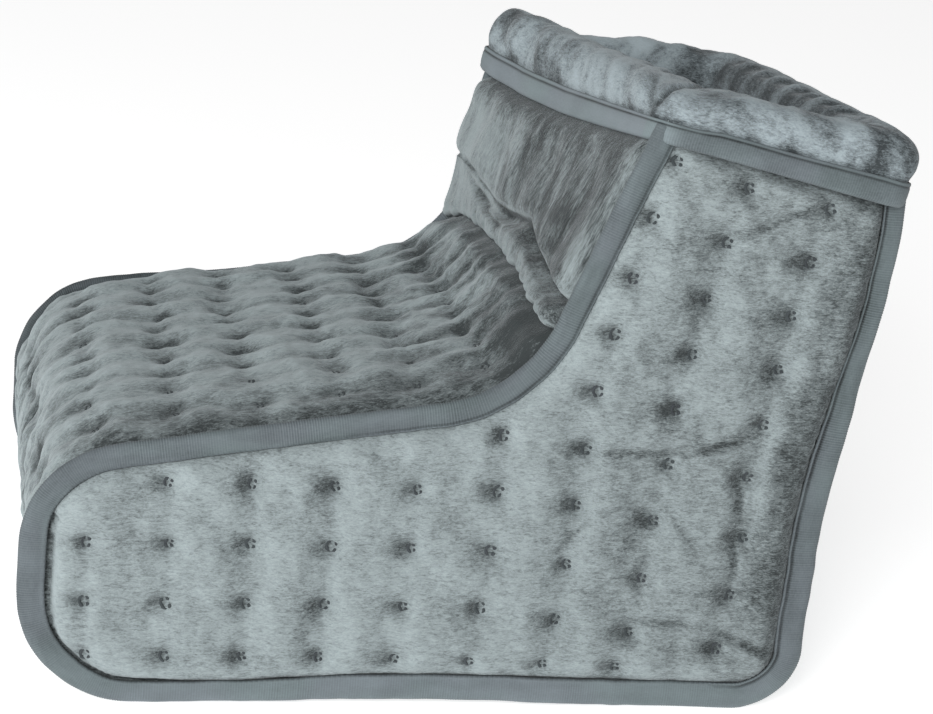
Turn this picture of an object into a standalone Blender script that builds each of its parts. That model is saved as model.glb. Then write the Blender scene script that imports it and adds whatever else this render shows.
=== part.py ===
"""Boot-shaped electric foot warmer for both feet: quilted plush shell, lining, heater and inlet.

Units are metres, +Z is up, the toe points to -X and the wearer's left side is -Y. The side view is
drawn from the back of the heel at X = 0, and an empty then sets the origin at the middle of the
whole part's footprint.
"""
import math

import bmesh
import bpy
import numpy as np
from mathutils import Vector
from mathutils.geometry import delaunay_2d_cdt

MM = 0.001

# Side view, along the outer edge of the raised seam
FOOT_LENGTH = 325 * MM
TOE_HEIGHT = 104 * MM
TOE_TOP_RADIUS = 43 * MM
TOE_SOLE_RADIUS = 48 * MM
ANKLE_BACK = 132 * MM
ANKLE_HEIGHT = 137 * MM
ANKLE_RADIUS = 55 * MM
MOUTH_FRONT_BACK = 86 * MM
MOUTH_FRONT_HEIGHT = 263 * MM
MOUTH_BACK_HEIGHT = 241.5 * MM
BACK_LEAN = 14 * MM
BACK_LOW_BEND = 90 * MM
BACK_HIGH_BEND = 196 * MM
BACK_BEND_RADIUS = 300 * MM
HEEL_RADIUS = 28 * MM

# Width between the middles of the two seams
SEAM_WIDTH = 211 * MM

# The shaft's far side leans forward and sinks a little
SETTLE_HEIGHT = 150 * MM
MOUTH_SKEW = 21 * MM
MOUTH_DROP = 15.5 * MM
MOUTH_FRONT_DROP = 5 * MM

# Layers, from the outside in
FLANGE = 9 * MM
CLOTH = 2 * MM
WADDING = 5 * MM
HEEL_WADDING = 2.7 * MM
LINING = 2.5 * MM
FOOTBED = 5 * MM
GAP = 0.3 * MM

# Binding tape folded over the seam
TAPE = 1.1 * MM
TAPE_WIDTH = 9 * MM
TAPE_ROUND = 0.8 * MM
CLOTH_END = 4 * MM
SEAM_PLY = 2 * MM
PLY_PLAY = 0.5 * MM

# Quilting
TUFT_PITCH_X = 32.6 * MM
TUFT_PITCH_Z = 24.8 * MM
TUFT_FIRST_X = 26 * MM
TUFT_FIRST_Z = 20 * MM
TUFT_ROW_DROP = 6 * MM
TUFT_STRAIGHT_COLUMNS = 5
TUFT_LEAN_HEIGHT = 130 * MM
TUFT_LEAN = 0.18
TUFT_MARGIN = 5 * MM
TUFT_EDGE = 7 * MM
TUFT_CROWD_SHARE = 0.2
TUFT_STEPS = 3
SIDE_PUFF = 5 * MM
SIDE_PUFF_REACH = 8 * MM
EDGE_PUFF_REACH = 5 * MM
CUFF_PUFF = 1.2 * MM
INSTEP_TUFT_ROWS = 9
INSTEP_TUFT_COLUMNS = 9
INSTEP_PUFF = 5 * MM
PILLOW_SHARE = 0.3
INSTEP_CROWN = 10.5 * MM
TOE_CROWN = 1 * MM
INSTEP_ARCH = 5
HEEL_TUFT_ROWS = 7
HEEL_PUFF = 2.5 * MM
HEEL_CROWN = 3 * MM

# Ankle panel
ANKLE_CROWN = 12 * MM
ANKLE_ARCH = 8
ANKLE_CUFF_CROWN = 5 * MM
ANKLE_ROLL = 9 * MM
ANKLE_ROLL_WIDTH = 26 * MM
ROLL_NEAR_SHARE = 0.25
ANKLE_FOLD = 2.5 * MM
ANKLE_FOLD_PITCH = 30 * MM
FOLD_LEAN_SHARE = 0.3
ANKLE_COLUMNS = 12
ANKLE_ROWS = 11
HEM_ROWS = 3
SEAM_GAP = 0.4 * MM

# Places of the cross seams, as shares of the bend that each lies in
ANKLE_SEAM_SHARE = 0.15
TOE_SEAM_SHARE = 0.5
HEEL_SEAM_SHARE = 0.55
SEAM_SHARE = 0.005

# Sole
SOLE_STAND = 0.2 * MM
SOLE_CLOTH = 2.5 * MM
SOLE_WALL = 3 * MM
SOLE_PAD_TOE_SHARE = 0.3
SOLE_PAD_HEEL_SHARE = 0.2

# Turned-down cuff
CUFF_HEIGHT = 19 * MM
CUFF_THICKNESS = 4 * MM
CUFF_BULGE = 1.2 * MM
CUFF_DOME = 5.5 * MM
CUFF_INNER_LEG = 12 * MM
CUFF_INNER_THICKNESS = 2 * MM
CREST_EDGE_SHARE = 0.75

# Corner radii of the cuff: near front, near back, far back, far front
CUFF_OUTER_RADII = (18 * MM, 10 * MM, 14 * MM, 10 * MM)
CUFF_INNER_RADII = (14 * MM, 12 * MM, 12 * MM, 12 * MM)
CUFF_FOLD_RADII = (9 * MM, 6 * MM, 9 * MM, 6 * MM)
CUFF_TAPE_WIDTH = 8 * MM

# Heater in the sole
FELT = 1 * MM
WIRE_DIAMETER = 2.4 * MM
WIRE_RUNS = 8
WIRE_TURN_STEPS = 6
WIRE_PITCH = 22 * MM
WIRE_TOE_MARGIN = 22 * MM
HEATER_BACK = 66 * MM
FELT_MARGIN = 6 * MM
LEAD_DIAMETER = 2 * MM
SPLICE_DIAMETER = 4.6 * MM
SPLICE_LENGTH = 12 * MM
SPLICE_OVERLAP = 4 * MM
CUTOUT_LENGTH = 18 * MM
CUTOUT_WIDTH = 8 * MM
CUTOUT_HEIGHT = 5 * MM
CUTOUT_ROUND = 1 * MM
CUTOUT_BACK = 44 * MM
LEAD_LAY = 34 * MM
LEAD_KNOTS = 5
LEAD_STEP = 4.4 * MM
NEUTRAL_LAY_SHARES = (0.14, 0.35, 0.8)
LINK_LAY_SHARES = (0.1, 0.28, 0.55, 0.72)

# Supply inlet on the heel
INLET_HEIGHT = 46 * MM
INLET_WIDTH = 26 * MM
INLET_TALL = 12 * MM
INLET_STAND = 6 * MM
INLET_RIM = 3 * MM
INLET_RIM_THICKNESS = 2 * MM
INLET_WALL = 2 * MM
INLET_ROUND = 1.5 * MM
PATCH_MARGIN = 10 * MM
PATCH_THICKNESS = 1.2 * MM
PATCH_RADIUS = 6 * MM
PIN_DIAMETER = 2 * MM
PIN_SPACING = 10 * MM
PIN_RECESS = 2 * MM

# Fineness of the mesh
STRAIGHT_STEP = 40 * MM
SHAFT_STEP = 14 * MM
BEND_STEP = math.radians(13)
CORNER_STEPS = 4
SIDE_STEPS = 4
OVERRUN = 5 * MM
MERGE = 0.0001 * MM
SHARP_ANGLE = math.radians(40)

PLUSH = (0.36, 0.41, 0.42)
DARK_PLUSH = (0.22, 0.26, 0.27)
TAPE_COLOUR = (0.21, 0.25, 0.28)
WADDING_COLOUR = (0.85, 0.85, 0.83)
FELT_COLOUR = (0.75, 0.72, 0.66)
WIRE_COLOUR = (0.70, 0.16, 0.12)
LEAD_COLOUR = (0.82, 0.82, 0.80)
METAL_COLOUR = (0.72, 0.70, 0.66)
PLASTIC_COLOUR = (0.06, 0.06, 0.065)
SOLE_COLOUR = (0.12, 0.13, 0.14)

half_seam = SEAM_WIDTH / 2
ply_inner = half_seam - SEAM_PLY / 2
ply_outer = half_seam + SEAM_PLY / 2
tape_inner = ply_inner - GAP - TAPE
tape_outer = ply_outer + GAP + TAPE
gusset_edge = ply_inner - GAP
gusset_face = tape_inner - GAP
wadding_face = ply_inner - GAP - WADDING
lining_face = wadding_face - GAP - LINING
cloth_depth = FLANGE + CLOTH
wadding_depth = cloth_depth + GAP
lining_depth = wadding_depth + WADDING + GAP
cuff_reach = CUFF_HEIGHT + 4 * GAP + 2 * TAPE
cuff_side = ply_outer + CUFF_PUFF + 2 * GAP + TAPE
cuff_inset = FLANGE - ANKLE_CUFF_CROWN - 2 * GAP - TAPE


def smooth(share):
    """Ease from 0 to 1 while share runs from 0 to 1."""
    share = min(max(share, 0.0), 1.0)
    return share * share * (3 - 2 * share)


def meet(point_a, way_a, point_b, way_b):
    """Where two lines in the side view cross."""
    cross = way_a[0] * way_b[1] - way_a[1] * way_b[0]
    gap = point_b - point_a
    along = (gap[0] * way_b[1] - gap[1] * way_b[0]) / cross
    return point_a + way_a * along


class SidePath:
    """The side view's edge, from the mouth's front round toe, sole and heel to the mouth's back.

    It lies `inset` inside the seam's outer edge. Places along it are given as a number whose whole
    part counts the stretches, straight and bent by turns, and whose fraction runs along one.
    """

    def __init__(self, inset, level=0.0):
        table = [
            (-MOUTH_FRONT_BACK, MOUTH_FRONT_HEIGHT, 0.0),
            (-ANKLE_BACK, ANKLE_HEIGHT, ANKLE_RADIUS),
            (-FOOT_LENGTH, TOE_HEIGHT, TOE_TOP_RADIUS),
            (-FOOT_LENGTH, 0.0, TOE_SOLE_RADIUS),
            (0.0, 0.0, HEEL_RADIUS),
            (0.0, BACK_LOW_BEND, BACK_BEND_RADIUS),
            (BACK_LEAN, BACK_HIGH_BEND, BACK_BEND_RADIUS),
            (BACK_LEAN, MOUTH_BACK_HEIGHT, 0.0),
        ]
        corners = [np.array(row[:2]) for row in table]
        radii = [row[2] for row in table]
        ways = [unit(b - a) for a, b in zip(corners, corners[1:])]
        normals = [np.array((way[1], -way[0])) for way in ways]
        starts = [corner - normal * inset for corner, normal in zip(corners, normals)]
        mouth_way = unit(corners[0] - corners[-1])
        mouth_start = corners[0] + np.array((mouth_way[1], -mouth_way[0])) * level
        moved = [meet(starts[0], ways[0], mouth_start, mouth_way)]
        for i in range(1, len(corners) - 1):
            moved.append(meet(starts[i - 1], ways[i - 1], starts[i], ways[i]))
        moved.append(meet(starts[-1], ways[-1], mouth_start, mouth_way))
        self.stretches = []
        run_start = moved[0]
        for i in range(1, len(moved) - 1):
            turn = math.atan2(ways[i - 1][0] * ways[i][1] - ways[i - 1][1] * ways[i][0],
                              float(ways[i - 1] @ ways[i]))
            side = math.copysign(1, turn)
            radius = radii[i] - side * inset
            reach = radius * math.tan(abs(turn) / 2)
            bend_start = moved[i] - ways[i - 1] * reach
            centre = bend_start - normals[i - 1] * radius * side
            self.stretches.append(("run", run_start, bend_start, normals[i - 1]))
            self.stretches.append(("bend", centre, radius * side, normals[i - 1], turn))
            run_start = moved[i] + ways[i] * reach
        self.stretches.append(("run", run_start, moved[-1], normals[-1]))

    def at(self, place):
        """Point and outward normal at a place along the path."""
        index = min(int(place), len(self.stretches) - 1)
        share = place - index
        stretch = self.stretches[index]
        if stretch[0] == "run":
            return stretch[1] * (1 - share) + stretch[2] * share, stretch[3]
        _, centre, radius, normal, turn = stretch
        angle = turn * share
        turned = np.array((normal[0] * math.cos(angle) - normal[1] * math.sin(angle),
                           normal[0] * math.sin(angle) + normal[1] * math.cos(angle)))
        return centre + turned * radius, turned

    def turn_of(self, index):
        """How far a stretch turns, zero on a straight one."""
        return abs(self.stretches[index][4]) if self.stretches[index][0] == "bend" else 0.0

    def length_of(self, index):
        """Length of one stretch."""
        stretch = self.stretches[index]
        if stretch[0] == "run":
            return float(np.linalg.norm(stretch[2] - stretch[1]))
        return abs(stretch[2] * stretch[4])


def unit(vector):
    return vector / np.linalg.norm(vector)


# Stretches along the side path, straight and bent by turns, whose numbers are whole places on it
STRETCHES = ("shaft front", "ankle bend", "instep", "toe top bend", "toe", "toe sole bend", "sole",
             "heel bend", "heel", "low back bend", "back", "high back bend", "shaft back")
ANKLE_BEND = STRETCHES.index("ankle bend")
TOE_TOP_BEND = STRETCHES.index("toe top bend")
TOE_SOLE_BEND = STRETCHES.index("toe sole bend")
SOLE_RUN = STRETCHES.index("sole")
HEEL_BEND = STRETCHES.index("heel bend")
PATH_END = len(STRETCHES)
ankle_seam = ANKLE_BEND + ANKLE_SEAM_SHARE
toe_seam = TOE_SOLE_BEND + TOE_SEAM_SHARE
heel_seam = HEEL_BEND + HEEL_SEAM_SHARE
base_path = SidePath(FLANGE)


def length_to(place):
    """Length along the gusset's surface from the mouth's front to a place."""
    whole = min(int(place), PATH_END - 1)
    done = sum(base_path.length_of(i) for i in range(whole))
    return done + base_path.length_of(whole) * (place - whole)


def place_at(length):
    """Place on the path at a length along the gusset's surface."""
    for index in range(PATH_END):
        stretch = base_path.length_of(index)
        if length <= stretch or index == PATH_END - 1:
            return index + min(length / stretch, 1.0)
        length -= stretch


def even_places(start, end, count):
    """Places that split the surface between two places into equal lengths."""
    first, last = length_to(start), length_to(end)
    return [place_at(first + (last - first) * i / count) for i in range(count + 1)]


def bend_places(start, end):
    """Places for a part of constant section: few on straight runs, more on bends and in the shaft."""
    places = [start]
    for index in range(int(start), min(int(end) + 1, PATH_END)):
        low, high = max(start, index), min(end, index + 1)
        if high <= low:
            continue
        turn = base_path.turn_of(index) * (high - low)
        in_shaft = base_path.at(high)[0][1] > ANKLE_HEIGHT or base_path.at(low)[0][1] > ANKLE_HEIGHT
        step = SHAFT_STEP if in_shaft or turn else STRAIGHT_STEP
        count = max(math.ceil(turn / BEND_STEP),
                    math.ceil(base_path.length_of(index) * (high - low) / step))
        places += [low + (high - low) * (i + 1) / count for i in range(count)]
    return places


hem_place = place_at(cuff_reach)
ankle_places = even_places(0.0, hem_place, HEM_ROWS) + even_places(hem_place, ankle_seam, ANKLE_ROWS)[1:]
instep_places = even_places(ankle_seam, toe_seam, INSTEP_TUFT_ROWS * TUFT_STEPS)
sole_places = bend_places(toe_seam, heel_seam)
heel_corner = bend_places(heel_seam, HEEL_BEND + 1.0)
heel_places = heel_corner + even_places(HEEL_BEND + 1.0, PATH_END, HEEL_TUFT_ROWS * TUFT_STEPS)[1:]
wall_places = ankle_places + instep_places[1:] + sole_places[1:] + heel_places[1:]
binding_places = bend_places(hem_place, place_at(length_to(PATH_END) - cuff_reach))

back_edge = BACK_LEAN
mouth_depth = MOUTH_FRONT_BACK + BACK_LEAN


def settle(points):
    """Lean and sink the far side of the soft shaft, more towards the mouth."""
    settled = []
    for x, y, z in points:
        rise = smooth((z - SETTLE_HEIGHT) / (MOUTH_FRONT_HEIGHT - SETTLE_HEIGHT))
        far = 0.5 + y / SEAM_WIDTH
        forward = (back_edge - x) / mouth_depth
        drop = MOUTH_DROP + MOUTH_FRONT_DROP * forward
        settled.append((x - MOUTH_SKEW * rise * far * forward, y, z - drop * rise * far))
    return settled


def material(name, colour, roughness=0.95, metallic=0.0):
    """A Principled material for one part."""
    finish = bpy.data.materials.new(name)
    finish.use_nodes = True
    shader = finish.node_tree.nodes["Principled BSDF"]
    shader.inputs["Base Color"].default_value = (*colour, 1)
    shader.inputs["Roughness"].default_value = roughness
    shader.inputs["Metallic"].default_value = metallic
    finish.diffuse_color = (*colour, 1)
    return finish


def add_object(name, mesh, finish):
    """Put a mesh in the part's collection, under the empty that sets the origin."""
    piece = bpy.data.objects.new(name, mesh)
    piece.data.materials.append(finish)
    parts.objects.link(piece)
    piece.parent = origin
    return piece


def finish_mesh(name, bm, finish, soft=True):
    """Turn the faces outward and make an object of them."""
    bmesh.ops.recalc_face_normals(bm, faces=bm.faces)
    mesh = bpy.data.meshes.new(name)
    bm.to_mesh(mesh)
    bm.free()
    if soft:
        mesh.shade_smooth()
        mesh.set_sharp_from_angle(angle=SHARP_ANGLE)
    return add_object(name, mesh, finish)


def skin(name, rings, finish, loop=False):
    """A closed solid through rings of equal point count, capped at its ends or joined in a loop."""
    bm = bmesh.new()
    rows = [[bm.verts.new(point) for point in settle(ring)] for ring in rings]
    spans = list(zip(rows, rows[1:] + rows[:1])) if loop else list(zip(rows, rows[1:]))
    for row, following in spans:
        for i, vertex in enumerate(row):
            after = (i + 1) % len(row)
            bm.faces.new((vertex, row[after], following[after], following[i]))
    if not loop:
        bm.faces.new(rows[0])
        bm.faces.new(rows[-1])
    return finish_mesh(name, bm, finish)


def on_path(path, place, y, rise=0.0):
    """A point of the gusset: across at y, and `rise` outside the given path."""
    point, normal = path.at(place)
    return (point[0] + normal[0] * rise, y, point[1] + normal[1] * rise)


def layer(name, places, outer, inner, half_width, finish):
    """A plain layer of the gusset between two insets."""
    outer_path, inner_path = SidePath(outer), SidePath(inner)
    rings = []
    for place in places:
        rings.append([on_path(outer_path, place, -half_width), on_path(outer_path, place, half_width),
                      on_path(inner_path, place, half_width), on_path(inner_path, place, -half_width)])
    return skin(name, rings, finish)


def shrink_ends(places):
    """Draw a panel's two ends back by half the gap of its cross seams."""
    first = length_to(places[0]) + SEAM_GAP / 2
    last = length_to(places[-1]) - SEAM_GAP / 2
    start = place_at(first) if places[0] > 0 else places[0]
    end = place_at(last) if places[-1] < PATH_END else places[-1]
    return [start] + places[1:-1] + [end]


def below_mouth(places):
    """End an outer panel a little below the mouth's edge, so that its swell stays under the cuff."""
    start = max(places[0], place_at(CLOTH_END))
    end = min(places[-1], place_at(length_to(PATH_END) - CLOTH_END))
    return [start] + places[1:-1] + [end]


def gusset_panel(name, places, columns, rise, finish):
    """An outer gusset panel whose surface rises above its base by rise(place index, y)."""
    inner_path = SidePath(cloth_depth)
    ys = [-gusset_face + 2 * gusset_face * i / columns for i in range(columns + 1)]
    rings = []
    for index, place in enumerate(below_mouth(shrink_ends(places))):
        ring = [on_path(base_path, place, -gusset_edge)]
        ring += [on_path(base_path, place, y, rise(index, y)) for y in ys]
        ring += [on_path(base_path, place, gusset_edge),
                 on_path(inner_path, place, gusset_edge), on_path(inner_path, place, -gusset_edge)]
        rings.append(ring)
    return skin(name, rings, finish)


def arch(y, power):
    """Crown across the gusset: zero at both edges and one in the middle."""
    return 1 - abs(y / gusset_face) ** power


def pillow(along, across):
    """Quilted swell between tufts that lie at whole numbers both ways."""
    near = math.hypot(along - round(along), across - round(across))
    return 1 - math.exp(-(near / PILLOW_SHARE) ** 2)


def instep_rise(index, y):
    """Crown and tufts of the instep and toe."""
    edge = smooth((gusset_face - abs(y)) / (2 * EDGE_PUFF_REACH))
    along = index / TUFT_STEPS
    across = (y / gusset_face) * (INSTEP_TUFT_COLUMNS + 1) / 2
    on_top = smooth(TOE_TOP_BEND + 0.5 - instep_places[index])
    crown = TOE_CROWN + (INSTEP_CROWN - TOE_CROWN) * on_top
    return edge * (crown * arch(y, INSTEP_ARCH) + INSTEP_PUFF * pillow(along, across))


def heel_rise(index, y):
    """Shallow crown and tufts of the heel, level round the inlet."""
    edge = smooth((gusset_face - abs(y)) / (2 * EDGE_PUFF_REACH))
    along = (index - len(heel_corner)) / TUFT_STEPS
    across = (y / gusset_face) * (INSTEP_TUFT_COLUMNS + 1) / 2
    height = base_path.at(heel_places[index])[0][1]
    to_mouth = length_to(PATH_END) - length_to(heel_places[index])
    swell = HEEL_PUFF * pillow(along, across) * smooth((to_mouth - cuff_reach) / TUFT_MARGIN - 1)
    beside = abs(y) - INLET_WIDTH / 2 - PATCH_MARGIN - 2 * gusset_face / quilt_columns
    beyond = abs(height - INLET_HEIGHT) - INLET_TALL / 2 - PATCH_MARGIN - TUFT_PITCH_Z / TUFT_STEPS
    return edge * (HEEL_CROWN + swell * smooth(max(beside, beyond) / TUFT_MARGIN))


def ankle_rise(index, y):
    """Crown of the shaft's front, its folds, and the roll of cloth that lies over the instep."""
    edge = smooth((gusset_face - abs(y)) / (2 * EDGE_PUFF_REACH))
    to_seam = length_to(ankle_seam) - length_to(ankle_places[index])
    far = 0.5 + y / SEAM_WIDTH
    fullness = ROLL_NEAR_SHARE + (1 - ROLL_NEAR_SHARE) * far
    roll = ANKLE_ROLL * fullness * math.sin(math.pi * min(to_seam / ANKLE_ROLL_WIDTH, 1))
    fold = ANKLE_FOLD * math.sin(2 * math.pi * (to_seam / ANKLE_FOLD_PITCH + FOLD_LEAN_SHARE * far))
    below_cuff = smooth((length_to(ankle_places[index]) - cuff_reach) / ANKLE_FOLD_PITCH)
    crown = ANKLE_CUFF_CROWN * (1 - below_cuff) + ANKLE_CROWN * below_cuff
    return edge * (crown * arch(y, ANKLE_ARCH) + (roll + fold) * below_cuff)


def sole_solid():
    """The sole's cloth: a shallow tray that turns up at toe and heel to meet the gusset."""
    flat_outset = FLANGE + SOLE_STAND
    inner_path = SidePath(cloth_depth)
    rings = []
    places = shrink_ends(sole_places)
    for place in places:
        toe_share = (place - toe_seam) / (SOLE_RUN - toe_seam)
        heel_share = (heel_seam - place) / (heel_seam - HEEL_BEND)
        down = flat_outset * smooth(toe_share) * smooth(heel_share)
        inner = max(down - SOLE_CLOTH, GAP - CLOTH)
        wall = gusset_face - SOLE_WALL
        ring = [on_path(base_path, place, -gusset_edge), on_path(base_path, place, -gusset_face)]
        ring += [on_path(base_path, place, side * (gusset_face - GAP), down) for side in (-1, 1)]
        ring += [on_path(base_path, place, gusset_face), on_path(base_path, place, gusset_edge)]
        ring += [on_path(inner_path, place, gusset_edge), on_path(inner_path, place, wall)]
        ring += [on_path(base_path, place, side * (wall - GAP), inner) for side in (1, -1)]
        ring += [on_path(inner_path, place, -wall), on_path(inner_path, place, -gusset_edge)]
        rings.append(ring)
    return skin("sole_panel", rings, sole_cloth)


def sole_wadding():
    """Wadding that fills the sole's tray."""
    start, end = SOLE_RUN - SOLE_PAD_TOE_SHARE, HEEL_BEND + SOLE_PAD_HEEL_SHARE
    half_width = gusset_face - SOLE_WALL - 2 * GAP
    flat_outset = FLANGE + SOLE_STAND
    top_path = SidePath(cloth_depth)
    rings = []
    for place in [p for p in sole_places if start < p < end]:
        toe_share = (place - toe_seam) / (SOLE_RUN - toe_seam)
        heel_share = (heel_seam - place) / (heel_seam - HEEL_BEND)
        down = flat_outset * smooth(toe_share) * smooth(heel_share) - SOLE_CLOTH - GAP
        low = [on_path(base_path, place, y, down) for y in (-half_width, half_width)]
        rings.append(low + [on_path(top_path, place, y) for y in (half_width, -half_width)])
    return skin("wadding_sole", rings, wadding)


def side_outline(inset, places, level=0.0):
    """Closed outline of a side layer in the side view."""
    path = SidePath(inset, level)
    return [path.at(place)[0] for place in places]


def side_slab(name, side, inset, inner, outer, finish):
    """A flat layer of one side."""
    outline = side_outline(inset, wall_places)
    rings = [[(x, side * y, z) for x, z in outline] for y in (inner, outer)]
    return skin(name, rings, finish)


def tuft(column, row):
    """Place of a side tuft, or between tufts for fractions of a column or row."""
    z = TUFT_FIRST_Z + TUFT_PITCH_Z * row
    z -= TUFT_ROW_DROP * max(0.0, column - TUFT_STRAIGHT_COLUMNS)
    z = max(z, TUFT_FIRST_Z + TUFT_CROWD_SHARE * TUFT_PITCH_Z * (row - 1))
    x = TUFT_FIRST_X - FOOT_LENGTH + TUFT_PITCH_X * column
    x += TUFT_LEAN * max(0.0, z - TUFT_LEAN_HEIGHT)
    return np.array((x, z))


def edge_distance(point, outline):
    """Signed distance inside a closed outline, negative outside."""
    points = np.array(outline)
    ways = np.roll(points, -1, axis=0) - points
    lengths = (ways ** 2).sum(axis=1)
    shares = np.clip(((point - points) * ways).sum(axis=1) / lengths, 0, 1)
    nearest = points + ways * shares[:, None]
    distance = np.sqrt(((point - nearest) ** 2).sum(axis=1)).min()
    following = np.roll(points, -1, axis=0)
    crosses = (points[:, 1] > point[1]) != (following[:, 1] > point[1])
    rise = np.where(crosses, following[:, 1] - points[:, 1], 1.0)
    across = points[:, 0] + (point[1] - points[:, 1]) / rise * ways[:, 0]
    inside = np.count_nonzero(crosses & (across > point[0])) % 2
    return distance if inside else -distance


def side_panel(name, side):
    """Quilted plush side: a flat inner face, a thin lip in the binding and tufted pillows."""
    ring = side_outline(TAPE_WIDTH + GAP, binding_places_to_mouth, -GAP)
    trimmed, full = SidePath(TAPE_WIDTH - GAP), SidePath(TAPE + PLY_PLAY)
    lip = [(full if place in binding_places else trimmed).at(place)[0] for place in binding_places_to_mouth]
    steps = TUFT_STEPS
    columns = int(FOOT_LENGTH / TUFT_PITCH_X) + 2
    rows = int(MOUTH_FRONT_HEIGHT / TUFT_PITCH_Z) + 2
    heart = []
    tufts = []
    for i in range(-steps, columns * steps):
        for j in range(-steps, rows * steps):
            point = tuft(i / steps, j / steps)
            if edge_distance(point, ring) < TUFT_MARGIN:
                continue
            heart.append(point)
            if i % steps == 0 and j % steps == 0 and edge_distance(point, ring) > TUFT_EDGE:
                tufts.append(point)
    mouth_way = unit(np.array(ring[0]) - np.array(ring[-1]))
    under_cuff = cuff_reach + TUFT_PITCH_Z / steps
    tufts = np.array(tufts)
    count = len(ring)
    points = [Vector(p) for p in lip + ring + heart]
    edges = [(i, (i + 1) % count) for i in range(count)]
    edges += [(count + a, count + b) for a, b in edges]
    faces = delaunay_2d_cdt(points, edges, [], 1, MERGE)
    flat, triangles = faces[0], faces[2]
    bm = bmesh.new()
    outer = []
    for vertex in flat:
        point = np.array(vertex)
        inside = edge_distance(point, ring)
        rise = 0.0
        if inside > MERGE:
            near = np.sqrt(((tufts - point) ** 2).sum(axis=1)).min()
            rise = SIDE_PUFF * (1 - math.exp(-(near / SIDE_PUFF_REACH) ** 2))
            rise *= 1 - math.exp(-(inside / EDGE_PUFF_REACH) ** 2)
            below = float(np.cross(mouth_way, point - np.array(ring[-1])))
            cover = smooth((abs(below) - under_cuff) / TUFT_MARGIN)
            rise = CUFF_PUFF * min(rise / CUFF_PUFF, 1) * (1 - cover) + rise * cover
        outer.append((point[0], side * (ply_outer + rise), point[1]))
    top = [bm.verts.new(point) for point in settle(outer)]
    bottom = [bm.verts.new(p) for p in settle([(x, side * ply_inner, z) for x, z in lip])]
    for triangle in triangles:
        bm.faces.new([top[i] for i in triangle])
    for i in range(count):
        after = (i + 1) % count
        bm.faces.new((top[i], top[after], bottom[after], bottom[i]))
    bm.faces.new(bottom)
    return finish_mesh(name, bm, plush)


def binding(name, side):
    """Tape folded over the seam between a side panel and the gusset."""
    section = [
        (TAPE_WIDTH, tape_outer),
        (TAPE_ROUND, tape_outer),
        (0.0, tape_outer - TAPE_ROUND),
        (0.0, tape_inner + TAPE_ROUND),
        (TAPE_ROUND, tape_inner),
        (TAPE_WIDTH - GAP, tape_inner),
        (TAPE_WIDTH - GAP, tape_inner + TAPE),
        (TAPE, tape_inner + TAPE),
        (TAPE, tape_outer - TAPE),
        (TAPE_WIDTH, tape_outer - TAPE),
    ]
    paths = [(SidePath(inset), y) for inset, y in section]
    rings = [[on_path(path, place, side * y) for path, y in paths] for place in binding_places]
    return skin(name, rings, tape_cloth)


def mouth_ring(inset, half_width, level, radii):
    """A rectangle round the mouth, `level` above the mouth's edge, with its own radius at each corner."""
    path = SidePath(inset, level)
    front, back = path.at(0.0)[0], path.at(PATH_END)[0]
    length = float(np.linalg.norm(back - front))
    way = (back - front) / length
    corners = [(0.0, -1), (length, -1), (length, 1), (0.0, 1)]
    ring = []
    for corner, (radius, (along, hand)) in enumerate(zip(radii, corners)):
        centre_along = along + (radius if along == 0 else -radius)
        centre_y = hand * (half_width - radius)
        arc = []
        for i in range(CORNER_STEPS + 1):
            angle = math.pi / 2 * (2 + corner + i / CORNER_STEPS)
            arc.append((centre_along + radius * math.cos(angle), centre_y + radius * math.sin(angle)))
        if ring:
            ring += between(ring[-1], arc[0])
        ring += arc
    ring += between(ring[-1], ring[0])
    return [(front[0] + way[0] * a, y, front[1] + way[1] * a) for a, y in ring]


def between(start, end):
    """Points inside a straight side of a mouth ring."""
    shares = [i / SIDE_STEPS for i in range(1, SIDE_STEPS)]
    return [(start[0] + (end[0] - start[0]) * s, start[1] + (end[1] - start[1]) * s) for s in shares]


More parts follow.
